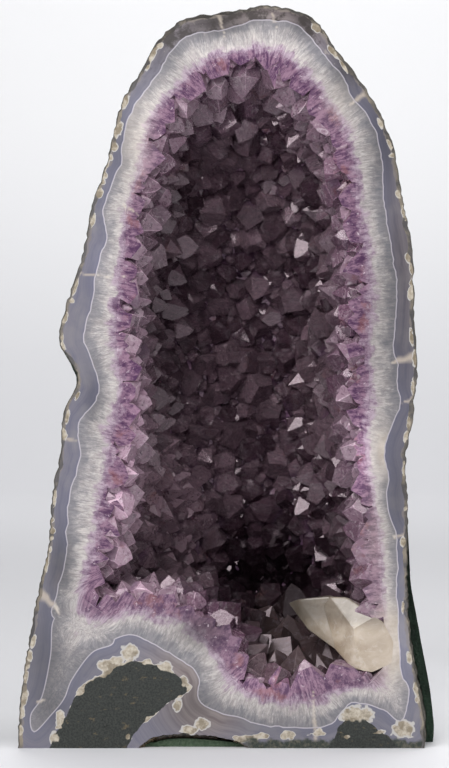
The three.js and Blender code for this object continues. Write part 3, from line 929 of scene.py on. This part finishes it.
def make_druse():
    rng = np.random.default_rng(7)
    crystals = all_crystals(rng)
    block_room = ((40, -10, 48), (98, 40, 82))
    cream_room = ((90, -10, 46), (114, 18, 80))
    taken = [inside_box(p, *block_room) or inside_box(p, *cream_room) for p in crystals.places]
    crystals = crystals.chosen(~np.array(taken))
    at_rim = crystals.places[:, 1] < RIM_DEPTH
    rim = crystal_solids(crystals.chosen(at_rim), rng)
    deep = crystal_solids(crystals.chosen(~at_rim), rng)
    rings = cavity_rings(np.concatenate([np.linspace(0, 0.1, 9), np.sin(np.linspace(0.11, 1.565, 26))]))
    front = rings[:1].copy()
    front[..., 1] = -2
    back = (CAVITY_CENTRE[0], CAVITY_DEPTH, CAVITY_CENTRE[1])
    cavity = lofted("cavity", np.concatenate([front, rings]), back)
    bed = carve(druse_room(), "DIFFERENCE", cavity)
    bed = grown_together("amethyst_rim", rim, bed)
    carve(bed, "INTERSECT", block((-ALL, 0, -ALL), (ALL, ALL, ALL)), druse_room())
    carve(bed, "DIFFERENCE", calcite_block())
    refine_face(bed, 1.3)
    points = grown_together("amethyst_points", deep)
    carve(points, "INTERSECT", block((-ALL, 0.2, -ALL), (ALL, ALL, ALL)), druse_room(-1.0, -2))
    carve(points, "DIFFERENCE", calcite_block())
    return bed, points


def inside_box(p, low_corner, high_corner):
    return all(a < v < b for a, v, b in zip(low_corner, p, high_corner))


# ---- Calcite ----

CALCITES = [
    [
        (41, 38, 85), (47, 30, 88), (66, 24, 90), (68, 48, 89), (78, 20, 80), (82, 22, 58),
        (70, 27, 57), (53, 33, 69), (82, 50, 60), (86, 48, 80),
    ],
    [
        (62, 16, 85), (66, 12, 91), (76, 9, 91), (89, 4, 83), (98, -3, 76), (104, -4, 65), (103, -4, 51),
        (92, -4, 46), (79, 3, 48), (69, 11, 59), (81, -1, 71), (72, 36, 88), (96, 32, 80), (104, 28, 60),
        (84, 34, 48),
    ],
]


def calcite_crystal(corners):
    bm = bmesh.new()
    for corner in corners:
        bm.verts.new(corner)
    bmesh.ops.convex_hull(bm, input=bm.verts)
    bmesh.ops.dissolve_limit(bm, angle_limit=0.05, verts=bm.verts, edges=bm.edges)
    worn = {"offset": 0.9, "segments": 2, "profile": 0.6, "affect": "EDGES", "clamp_overlap": True}
    bmesh.ops.bevel(bm, geom=bm.edges, **worn)
    mesh = bpy.data.meshes.new("calcite")
    bm.to_mesh(mesh)
    bm.free()
    obj = bpy.data.objects.new("calcite_crystals", mesh)
    bpy.context.scene.collection.objects.link(obj)
    return obj


def calcite_block():
    """Both calcite crystals as one solid, which runs on past the sawn face."""
    first, second = (calcite_crystal(corners) for corners in CALCITES)
    return carve(first, "UNION", second)


def make_calcite():
    return refine_face(carve(calcite_block(), "INTERSECT", block((-ALL, 0, -ALL), (ALL, ALL, ALL))), 2.5)


# ---- Materials ----

class Shader:
    """A material's node tree, with short ways to add what most of them need."""

    def __init__(self, name):
        self.material = bpy.data.materials.new(name)
        self.material.use_nodes = True
        self.tree = self.material.node_tree
        self.tree.nodes.clear()
        self.bsdf = self.tree.nodes.new("ShaderNodeBsdfPrincipled")
        self.out = self.tree.nodes.new("ShaderNodeOutputMaterial")
        self.link(self.bsdf.outputs[0], self.out.inputs["Surface"])

    def link(self, a, b):
        self.tree.links.new(a, b)

    def put(self, socket, value):
        if isinstance(value, bpy.types.NodeSocket):
            self.link(value, socket)
        elif isinstance(value, tuple) and len(value) == 3 and socket.type == "RGBA":
            socket.default_value = (*value, 1)
        else:
            socket.default_value = value

    def set(self, **values):
        for key, value in values.items():
            self.put(self.bsdf.inputs[key.replace("_", " ")], value)

    def attribute(self, name, vector=False):
        node = self.tree.nodes.new("ShaderNodeAttribute")
        node.attribute_name = name
        return node.outputs["Vector" if vector else "Fac"]

    def position(self):
        return self.tree.nodes.new("ShaderNodeTexCoord").outputs["Object"]

    def node(self, kind, *values, **settings):
        """A node with its settings made and its first inputs filled."""
        made = self.tree.nodes.new("ShaderNode" + kind)
        for key, value in settings.items():
            setattr(made, key, value)
        for socket, value in zip(made.inputs, values):
            self.put(socket, value)
        return made

    def math(self, operation, a, b=0.0, more=0.0):
        return self.node("Math", a, b, more, operation=operation).outputs[0]

    def times(self, a, b):
        return self.math("MULTIPLY", a, b)

    def plus(self, a, b):
        return self.math("ADD", a, b)

    def swing(self, value, size):
        """A noise's value as a number from about -size / 2 to size / 2."""
        return self.times(self.math("SUBTRACT", value, 0.5), size)

    def split(self, vector):
        return self.node("SeparateXYZ", vector).outputs

    def dot(self, a, b):
        return self.node("VectorMath", a, b, operation="DOT_PRODUCT").outputs["Value"]

    def vector(self, operation, a, b):
        return self.node("VectorMath", a, b, operation=operation).outputs[0]

    def scale(self, vector, size):
        made = self.node("VectorMath", vector, operation="SCALE")
        self.put(made.inputs["Scale"], size)
        return made.outputs[0]

    def join(self, x, y, z):
        return self.node("CombineXYZ", x, y, z).outputs[0]

    def mix(self, share, a, b):
        made = self.node("Mix", data_type="RGBA")
        for key, value in (("Factor", share), (6, a), (7, b)):
            self.put(made.inputs[key], value)
        return made.outputs[2]

    def ramp(self, value, low_end, high_end, to_low=0.0, to_high=1.0):
        numbers = (value, low_end, high_end, to_low, to_high)
        return self.node("MapRange", *numbers, interpolation_type="SMOOTHSTEP").outputs[0]

    def noise(self, vector, scale, detail=4.0, roughness=0.6, distortion=0.0):
        made = self.node("TexNoise", vector)
        numbers = {"Scale": scale, "Detail": detail, "Roughness": roughness, "Distortion": distortion}
        for key, value in numbers.items():
            made.inputs[key].default_value = value
        return made.outputs["Fac"]

    def cells(self, vector, scale, feature="DISTANCE_TO_EDGE"):
        made = self.node("TexVoronoi", vector, feature=feature)
        made.inputs["Scale"].default_value = scale
        return made.outputs["Distance"]

    def bump(self, height, distance, strength=1.0):
        made = self.node("Bump")
        for key, value in (("Height", height), ("Distance", distance), ("Strength", strength)):
            self.put(made.inputs[key], value)
        self.link(made.outputs[0], self.bsdf.inputs["Normal"])


def line_light(s):
    """How bright the white line is: fainter in the smoky patches and under the painted shade on the face's
    right side.
    """
    return s.math("MULTIPLY_ADD", s.attribute("light"), 0.6, more=0.4)


def cream_crust(s, where):
    """The cream and beige of the nodules and of the crust under the rind."""
    mottle = s.noise(where, 420, 4)
    patch = s.noise(where, 120, 4)
    body = s.mix(s.ramp(mottle, 0.3, 0.7), (0.27, 0.23, 0.17), (0.47, 0.42, 0.345))
    return s.mix(s.ramp(patch, 0.46, 0.6, 0.0, 0.75), body, (0.16, 0.125, 0.08)), mottle


def agate_material():
    s = Shader("agate")
    line, skin = s.attribute("line"), s.attribute("skin")
    foot = s.attribute("foot", True)
    where = s.position()
    band = s.plus(line, s.times(s.noise(where, 90, 2), 1.4))
    drift = s.times(s.noise(foot, 0.03, 3), 2.0)
    fine = s.noise(s.join(s.times(band, 1.3), drift, 0.0), 1.0, 2)
    broad = s.noise(s.join(s.times(band, 0.28), drift, 3.0), 1.0, 2)
    cloudy = s.noise(where, 30, 4)
    blue = s.mix(s.ramp(broad, 0.25, 0.75), (0.118, 0.116, 0.158), (0.158, 0.15, 0.182))
    blue = s.mix(s.ramp(line, 5.0, 0.8, 0.0, 0.5), blue, (0.11, 0.112, 0.165))
    brown = s.mix(s.ramp(broad, 0.3, 0.7), (0.15, 0.118, 0.118), (0.25, 0.21, 0.205))
    body = s.mix(s.attribute("brown"), blue, brown)
    body = s.mix(s.ramp(fine, 0.45, 0.75, 0.0, 0.1), body, (0.3, 0.28, 0.31))
    body = s.mix(s.ramp(cloudy, 0.5, 0.7, 0.0, 0.35), body, (0.24, 0.225, 0.225))
    # Darker in the smoky patches and under the painted shade on the face's right side.
    body = s.scale(body, s.attribute("light"))
    crags = s.noise(where, 75, 5, 0.65)
    top = s.ramp(s.split(where)[2], 0.395, 0.43)
    body = s.mix(s.times(s.ramp(crags, 0.48, 0.6), s.times(top, 0.85)), body, (0.03, 0.024, 0.022))
    body = s.mix(s.times(s.ramp(crags, 0.42, 0.34), s.times(top, 0.7)), body, (0.36, 0.32, 0.29))
    body = s.mix(s.ramp(line, 0.6, 0.15), body, s.scale((0.44, 0.41, 0.46), line_light(s)))
    body = s.mix(s.times(s.attribute("vein"), 0.8), body, (0.42, 0.36, 0.3))
    cream, mottle = cream_crust(s, where)
    crust = s.plus(skin, s.swing(s.noise(where, 75, 4), 7.0))
    body = s.mix(s.ramp(crust, 2.7, 1.9, 0.0, 0.5), body, (0.2, 0.17, 0.14))
    spot = s.attribute("nodule")
    body = s.mix(s.ramp(spot, -0.04, 0.08), body, (0.42, 0.4, 0.38))
    body = s.mix(s.ramp(spot, 0.14, 0.3), body, cream)
    dark = s.mix(s.ramp(mottle, 0.4, 0.7), (0.012, 0.02, 0.013), (0.08, 0.075, 0.055))
    body = s.mix(s.attribute("under"), body, dark)
    broken = s.ramp(s.split(where)[1], SHIFT.y + 0.0002, SHIFT.y + 0.0008)
    body = s.mix(broken, body, s.mix(s.ramp(mottle, 0.4, 0.6), (0.06, 0.045, 0.03), (0.2, 0.15, 0.1)))
    s.set(Base_Color=body, Roughness=0.24, IOR=1.54)
    s.set(Coat_Weight=0.25, Coat_Roughness=0.08)
    s.bump(mottle, 0.0002, 0.15)
    return s.material


def quartz_colours(s):
    """Colour of the sawn wall, from grey quartz inside the white line to cloudy amethyst at the mouth."""
    wall, line = s.attribute("wall"), s.attribute("line")
    foot = s.attribute("foot", True)
    where = s.position()
    deep = s.join(0.0, s.times(line, -0.13), 0.0)
    fibres = s.noise(s.vector("ADD", s.scale(foot, 0.8), deep), 1.0, 5, 0.75)
    columns = s.noise(s.vector("ADD", s.scale(foot, 0.16), deep), 1.0, 5, 0.7)
    cloud = s.noise(where, 75, 6, 0.7)
    blotch = s.noise(where, 150, 5, 0.7, 0.6)
    grit = s.noise(s.vector("ADD", s.scale(foot, 1.3), s.scale(deep, 1.7)), 1.0, 4, 0.75)
    strands = s.noise(s.vector("ADD", s.scale(foot, 0.4), deep), 1.0, 5, 0.75)
    grey = s.mix(s.ramp(fibres, 0.33, 0.67), (0.145, 0.145, 0.163), (0.25, 0.237, 0.25))
    white = s.mix(s.ramp(fibres, 0.33, 0.67), (0.28, 0.25, 0.25), (0.53, 0.49, 0.465))
    shifted = s.plus(wall, s.swing(columns, 0.8))
    shifted = s.plus(shifted, s.swing(blotch, 0.3))
    body = s.mix(s.ramp(shifted, 0.04, 0.44), grey, white)
    body = s.mix(s.ramp(cloud, 0.42, 0.65, 0.0, 0.45), body, (0.18, 0.165, 0.175))
    flecks = s.times(s.ramp(grit, 0.5, 0.66), s.ramp(shifted, 0.05, 0.3))
    body = s.mix(s.times(flecks, 0.42), body, (0.72, 0.69, 0.66))
    mixed = s.plus(s.times(strands, 0.65), s.times(blotch, 0.35))
    lilac = s.mix(s.ramp(mixed, 0.4, 0.6), (0.17, 0.102, 0.16), (0.4, 0.32, 0.375))
    purple = s.mix(s.ramp(mixed, 0.41, 0.6), (0.065, 0.028, 0.07), (0.25, 0.15, 0.21))
    body = s.mix(s.ramp(shifted, 0.4, 0.58), body, lilac)
    body = s.mix(s.ramp(shifted, 0.56, 0.76), body, purple)
    rusty = s.times(s.ramp(s.noise(where, 60, 5), 0.56, 0.68), s.ramp(shifted, 0.55, 0.75))
    body = s.mix(s.times(rusty, 0.4), body, (0.24, 0.09, 0.07))
    # Darker in the smoky patches and under the painted shade on the face's right side.
    body = s.scale(body, s.attribute("light"))
    # Painted sparkle: pale specks over the purple zone.
    painted_sparkle = s.times(s.ramp(s.noise(where, 300, 5, 0.75), 0.6, 0.68), s.ramp(shifted, 0.45, 0.65))
    body = s.mix(s.times(painted_sparkle, 0.6), body, (0.62, 0.52, 0.57))
    cream = s.math("MAXIMUM", s.attribute("cream"), s.attribute("vein"))
    creamy = s.mix(s.ramp(cloud, 0.35, 0.65), (0.4, 0.34, 0.28), (0.58, 0.52, 0.46))
    body = s.mix(s.times(cream, 0.85), body, creamy)
    return s.mix(s.ramp(line, -0.4, -0.15), body, s.scale((0.38, 0.35, 0.375), line_light(s))), cloud


def quartz_material():
    s = Shader("milky_quartz")
    colour, cloud = quartz_colours(s)
    s.set(Base_Color=colour, Roughness=0.28, IOR=1.54)
    s.bump(cloud, 0.0003, 0.2)
    return s.material


VIOLET = (1.0, 0.84, 0.9)  # of the light the crystals mirror


def crystal_colours(s):
    """Colour of the crystals: veiled lilac near the sawn face, smoky purple deep in the cavity, darker there
    partly by painted shade.
    """
    root, axis, where = s.attribute("root", True), s.attribute("axis", True), s.position()
    own = s.vector("ADD", where, s.scale(root, 3.0))
    tone_and_painted_light, facet = s.attribute("tone_and_painted_light"), s.attribute("facet")
    depth = s.split(where)[1]
    place = s.split(s.vector("SUBTRACT", root, tuple(SHIFT)))
    low = s.times(s.ramp(place[2], 0.088, 0.06), s.ramp(place[0], 0.0, 0.02))
    low = s.times(low, s.ramp(place[1], 0.006, 0.016))
    ragged = s.math("MULTIPLY_ADD", s.noise(root, 60, 2), 0.05, more=-0.025)
    deep = s.math("MAXIMUM", s.ramp(s.plus(depth, ragged), SHIFT.y + 0.012, SHIFT.y + 0.058), low)
    high = s.dot(s.vector("SUBTRACT", where, root), axis)
    haze = s.noise(own, 120, 5, 0.65, 1.0)
    veil = s.noise(own, 190, 6, 0.7, 1.5)
    # Both colours follow each crystal's random tone, with painted light and shade round the cavity added to
    # it.
    light = s.mix(tone_and_painted_light, (0.21, 0.105, 0.165), (0.44, 0.3, 0.375))
    dark = s.mix(tone_and_painted_light, (0.07, 0.037, 0.052), (0.27, 0.18, 0.215))
    dark = s.mix(s.times(low, 0.7), dark, (0.13, 0.092, 0.082))
    light = s.mix(s.ramp(veil, 0.5, 0.68, 0.0, 0.75), light, (0.62, 0.52, 0.57))
    dark = s.mix(s.ramp(haze, 0.5, 0.7, 0.0, 0.65), dark, (0.3, 0.245, 0.275))
    dark = s.mix(s.ramp(veil, 0.48, 0.34, 0.0, 0.6), dark, (0.04, 0.02, 0.03))
    # Darker deep in the cavity: partly the crystals' own smoky purple, partly painted shade.
    body = s.mix(deep, light, dark)
    fine = s.noise(own, 430, 5, 0.75, 0.6)
    dark_specks = s.times(s.ramp(fine, 0.47, 0.36), s.ramp(deep, 0.0, 1.0, 0.6, 0.4))
    # Painted glints: pale specks, fainter deep in the cavity.
    painted_glint_specks = s.times(s.ramp(fine, 0.56, 0.66), s.ramp(deep, 0.0, 1.0, 0.5, 0.3))
    body = s.mix(dark_specks, body, (0.05, 0.018, 0.04))
    body = s.mix(painted_glint_specks, body, (0.66, 0.55, 0.59))
    # Painted shade at each crystal's root, in the gaps between the crystals.
    body = s.mix(s.ramp(high, 0.004, -0.002, 0.0, 0.5), body, (0.1, 0.04, 0.11))
    rust = s.times(s.ramp(s.noise(where, 38, 4), 0.6, 0.7), s.ramp(haze, 0.45, 0.6))
    body = s.mix(s.times(rust, 0.42), body, (0.25, 0.075, 0.055))
    # Painted light and shade: each facet lighter or darker at random, and a painted highlight on the worn
    # edges.
    shade = s.math("MULTIPLY_ADD", facet, 0.7, more=0.65)
    # Painted shade where the crystals' value falls below zero, in the hollow; painted light where it climbs
    # above one.
    painted_shade_and_light = s.times(s.ramp(tone_and_painted_light, -1.0, 0.1, 0.2, 1.0), s.ramp(tone_and_painted_light, 0.9, 2.0, 1.0, 1.7))
    return s.scale(body, s.times(shade, painted_shade_and_light)), haze, low


def rim_material():
    s = Shader("amethyst_rim")
    sawn, cloud = quartz_colours(s)
    crystal, haze, _ = crystal_colours(s)
    s.set(Base_Color=s.mix(s.attribute("grown"), sawn, crystal), Roughness=0.14, IOR=1.55)
    s.set(Specular_Tint=VIOLET)
    s.set(Transmission_Weight=s.times(s.attribute("grown"), 0.45))
    s.bump(haze, 0.0004, 0.25)
    return s.material


def points_material():
    s = Shader("amethyst_clear")
    crystal, haze, low = crystal_colours(s)
    s.set(Base_Color=crystal, Roughness=s.ramp(low, 0.0, 1.0, 0.07, 0.28), IOR=1.55)
    s.set(Transmission_Weight=0.6)
    s.set(Specular_Tint=VIOLET)
    s.bump(haze, 0.0004, 0.3)
    volume = s.tree.nodes.new("ShaderNodeVolumeAbsorption")
    volume.inputs["Color"].default_value = (0.6, 0.42, 0.58, 1)
    volume.inputs["Density"].default_value = 38
    s.link(volume.outputs[0], s.out.inputs["Volume"])
    return s.material


def calcite_material():
    s = Shader("calcite")
    where = s.position()
    cloud = s.noise(where, 55, 5, 0.6, 0.5)
    veil = s.noise(where, 160, 5, 0.7, 1.2)
    body = s.mix(s.ramp(cloud, 0.35, 0.7), (0.3, 0.232, 0.165), (0.52, 0.445, 0.36))
    body = s.mix(s.ramp(veil, 0.52, 0.68, 0.0, 0.5), body, (0.56, 0.51, 0.46))
    milky = s.ramp(s.split(where)[0], SHIFT.x + 0.076, SHIFT.x + 0.094)
    body = s.mix(s.times(milky, 0.4), body, (0.52, 0.45, 0.38))
    # Painted shade: darker towards the wedge's tip, where it is shaded, and over the top faces, which face
    # the key light.
    across, _, high = s.split(where)
    tip = s.ramp(across, SHIFT.x + 0.044, SHIFT.x + 0.072, 0.5, 1.0)
    shade = s.times(tip, s.ramp(high, 0.07, 0.08, 1.0, 0.52))
    s.set(Base_Color=s.scale(body, shade), Roughness=0.3, IOR=1.55)
    s.set(Subsurface_Weight=0.15, Subsurface_Radius=(1.0, 0.8, 0.6), Subsurface_Scale=0.004)
    s.bump(s.noise(where, 130, 4), 0.0004, 0.25)
    return s.material


def basalt_material():
    s = Shader("basalt")
    where = s.position()
    grain = s.noise(where, 900, 3)
    patch = s.noise(s.vector("MULTIPLY", where, (1.0, 1.0, 1.8)), 150, 5, 0.65)
    body = s.mix(s.ramp(grain, 0.35, 0.65), (0.011, 0.014, 0.012), (0.032, 0.035, 0.031))
    body = s.mix(s.ramp(patch, 0.58, 0.68, 0.0, 0.7), body, (0.12, 0.09, 0.05))
    body = s.mix(s.ramp(s.noise(where, 260, 2), 0.3, 0.26), body, (0.004, 0.005, 0.004))
    crust, _ = cream_crust(s, where)
    body = s.mix(s.ramp(s.attribute("nodule"), 0.3, 0.55), body, crust)
    s.set(Base_Color=body, Roughness=0.5, IOR=1.45)
    s.bump(grain, 0.0003, 0.4)
    return s.material


def rind_material():
    s = Shader("rind")
    where = s.position()
    patch = s.noise(where, 110, 5, 0.65)
    grain = s.noise(where, 700, 4)
    outside = s.mix(s.ramp(patch, 0.35, 0.65), (0.035, 0.038, 0.03), (0.12, 0.108, 0.085))
    pits = s.cells(where, 95)
    pitted = s.times(s.ramp(pits, 0.25, 0.45), s.ramp(patch, 0.45, 0.6))
    outside = s.mix(pitted, outside, (0.45, 0.4, 0.3))
    cream, _ = cream_crust(s, where)
    skin = s.plus(s.attribute("skin"), s.swing(patch, 2.0))
    sawn = s.mix(s.ramp(s.noise(where, 65, 4), 0.42, 0.62), (0.085, 0.08, 0.082), (0.24, 0.205, 0.16))
    top = s.ramp(s.split(where)[2], 0.395, 0.43)
    sawn = s.mix(s.times(s.ramp(patch, 0.45, 0.55), s.times(top, 0.8)), sawn, (0.04, 0.033, 0.03))
    # Darker in the smoky patches and under the painted shade on the face's right side.
    sawn = s.scale(sawn, s.attribute("light"))
    sawn = s.mix(s.ramp(s.attribute("nodule"), 0.0, 0.2), sawn, cream)
    sawn = s.mix(s.ramp(skin, 0.9, 0.2), sawn, (0.05, 0.045, 0.035))
    on_face = s.ramp(s.split(where)[1], SHIFT.y + 0.0005, SHIFT.y + 0.0001)
    s.set(Base_Color=s.mix(on_face, outside, sawn), Roughness=0.8)
    s.bump(s.plus(grain, patch), 0.0012, 0.6)
    return s.material


def cement_material():
    s = Shader("painted_cement")
    where = s.position()
    patch = s.noise(where, 22, 5, 0.6)
    grain = s.noise(where, 600, 4)
    lumps = s.noise(where, 75, 4)
    body = s.mix(s.ramp(patch, 0.35, 0.68), (0.008, 0.02, 0.011), (0.022, 0.05, 0.028))
    body = s.mix(s.ramp(lumps, 0.5, 0.34, 0.0, 0.6), body, (0.005, 0.012, 0.007))
    body = s.mix(s.ramp(grain, 0.66, 0.74), body, (0.09, 0.11, 0.08))
    # Painted light: the same green paint made brighter on the foot and the roll near the front.
    painted_light_front = s.ramp(s.split(where)[1], SHIFT.y + 0.013, SHIFT.y + 0.01)
    body = s.mix(painted_light_front, body, s.mix(s.ramp(grain, 0.4, 0.6), (0.035, 0.07, 0.035), (0.06, 0.1, 0.055)))
    s.set(Base_Color=body, Roughness=s.ramp(patch, 0.3, 0.7, 0.5, 0.8))
    s.bump(s.plus(grain, s.times(lumps, 3.0)), 0.0012, 0.8)
    return s.material


def floor_material():
    s = Shader("pale_floor")
    across, back, high = s.split(s.position())
    # Lighter in front of the stone's front edge, like a table edge, with painted shade behind it and painted
    # light further back.
    near = s.ramp(back, -0.11, -0.04, 0.72, 0.5)
    far = s.ramp(back, 0.6, 2.6, 0.0, 0.08)
    # Painted light to the right of the stone, filling in the key light's shadow.
    painted_light_beside = s.times(s.ramp(across, 0.02, 0.2, 0.0, 0.3), s.ramp(back, 0.5, 0.1))
    painted_light_beside = s.times(painted_light_beside, s.ramp(back, -0.11, -0.04))
    level = s.plus(s.plus(near, far), painted_light_beside)
    weave = s.times(s.noise(s.position(), 400, 3), 0.04)
    # The wall grows lighter upwards, as painted light.
    paper = s.mix(s.ramp(high, 0.0, 1.2), s.scale((1.0, 1.0, 1.03), level), (0.93, 0.93, 0.935))
    s.set(Base_Color=s.scale(paper, s.plus(weave, 0.96)), Roughness=0.6)
    return s.material


# ---- Dressing, light and camera ----

def finish_piece(obj, material, slot, *nodes):
    obj.data.materials.clear()
    obj.data.materials.append(material)
    obj.data.transform(Matrix.Translation(SHIFT) @ Matrix.Scale(MM, 4))
    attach(obj, "root")
    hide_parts(*nodes)


def shade_smooth(obj, angle):
    bpy.context.view_layer.objects.active = obj
    for face in obj.data.polygons:
        face.use_smooth = True
    obj.data.set_sharp_from_angle(angle=math.radians(angle))


def dress():
    agate = make_agate()
    rind = make_rind()
    quartz = make_quartz()
    rim, points = make_druse()
    for piece in (agate, rind, quartz, rim):
        mark_face(piece)
    for piece in (rind, quartz, agate):
        shade_smooth(piece, 35)
    finish_piece(agate, agate_material(), "agate", "agate_wall")
    finish_piece(rind, rind_material(), "rind", "basalt_rind")
    finish_piece(quartz, quartz_material(), "quartz", "quartz_wall")
    finish_piece(rim, rim_material(), "amethyst", "amethyst_druse")
    finish_piece(points, points_material(), "amethyst", "amethyst_druse")
    finish_piece(make_calcite(), calcite_material(), "calcite", "calcite_cluster")
    basalt = basalt_material()
    finish_piece(make_lump("basalt_lump_sawn", lump_line, 62), basalt, "basalt", "basalt_lump")
    finish_piece(make_lump("basalt_chip_sawn", chip_line, 44), basalt, "basalt", "basalt_chip")
    cement = make_cement()
    shade_smooth(cement, 60)
    finish_piece(cement, cement_material(), "cement", "cement_back")


FLOOR_END = 3.45
CURVE = 1.1  # radius


def backdrop():
    """A pale floor that curves up into a wall, far enough back to leave room all round the stone."""
    turns = np.linspace(0.1, math.pi / 2, 16)
    profile = [(-7.0, 0.0), (FLOOR_END, 0.0)]
    profile += [(FLOOR_END + CURVE * math.sin(a), CURVE - CURVE * math.cos(a)) for a in turns]
    profile.append((FLOOR_END + CURVE, 5.0))
    points = [(x, y, z) for y, z in profile for x in (-6, 6)]
    faces = [(2 * k, 2 * k + 1, 2 * k + 3, 2 * k + 2) for k in range(len(profile) - 1)]
    obj = mesh_object("floor", points, faces)
    for face in obj.data.polygons:
        face.use_smooth = True
    obj.data.materials.append(floor_material())


def softbox(name, place, target, size, power, mirrored=True):
    lamp = bpy.data.lights.new(name, "AREA")
    lamp.shape = "RECTANGLE"
    lamp.size, lamp.size_y = size
    lamp.energy = power
    obj = bpy.data.objects.new(name, lamp)
    obj.location = place
    obj.rotation_euler = (Vector(target) - Vector(place)).to_track_quat("-Z", "Y").to_euler()
    obj.visible_glossy = mirrored
    bpy.context.scene.collection.objects.link(obj)


def light():
    middle = (0, -0.05, 0.22)
    softbox("key", KEY, middle, (1.55, 1.45), 47)
    softbox("fill", (1.7, -1.3, 0.9), middle, (1.8, 1.8), 15, mirrored=False)
    softbox("top", (0.2, 0.35, 1.7), middle, (1.4, 0.9), 9)
    softbox("side", (0.8, 0.75, 0.9), (0.2, 0.15, 0), (0.9, 0.7), 4, mirrored=False)
    softbox("backdrop", (0.15, 2.9, 3.2), (0.15, 4.0, 0.3), (3.0, 1.2), 86)
    world = bpy.data.worlds.new("studio")
    world.use_nodes = True
    world.node_tree.nodes["Background"].inputs["Color"].default_value = (0.93, 0.94, 1.0, 1)
    world.node_tree.nodes["Background"].inputs["Strength"].default_value = 0.22
    bpy.context.scene.world = world


def camera():
    data = bpy.data.cameras.new("camera")
    data.sensor_width = 36
    data.lens = 123.6
    obj = bpy.data.objects.new("camera", data)
    obj.location = EYE
    obj.rotation_euler = (math.radians(90), 0, 0)
    bpy.context.scene.collection.objects.link(obj)
    bpy.context.scene.camera = obj


dress()
backdrop()
light()
camera()
bpy.context.scene.view_settings.view_transform = "Standard"
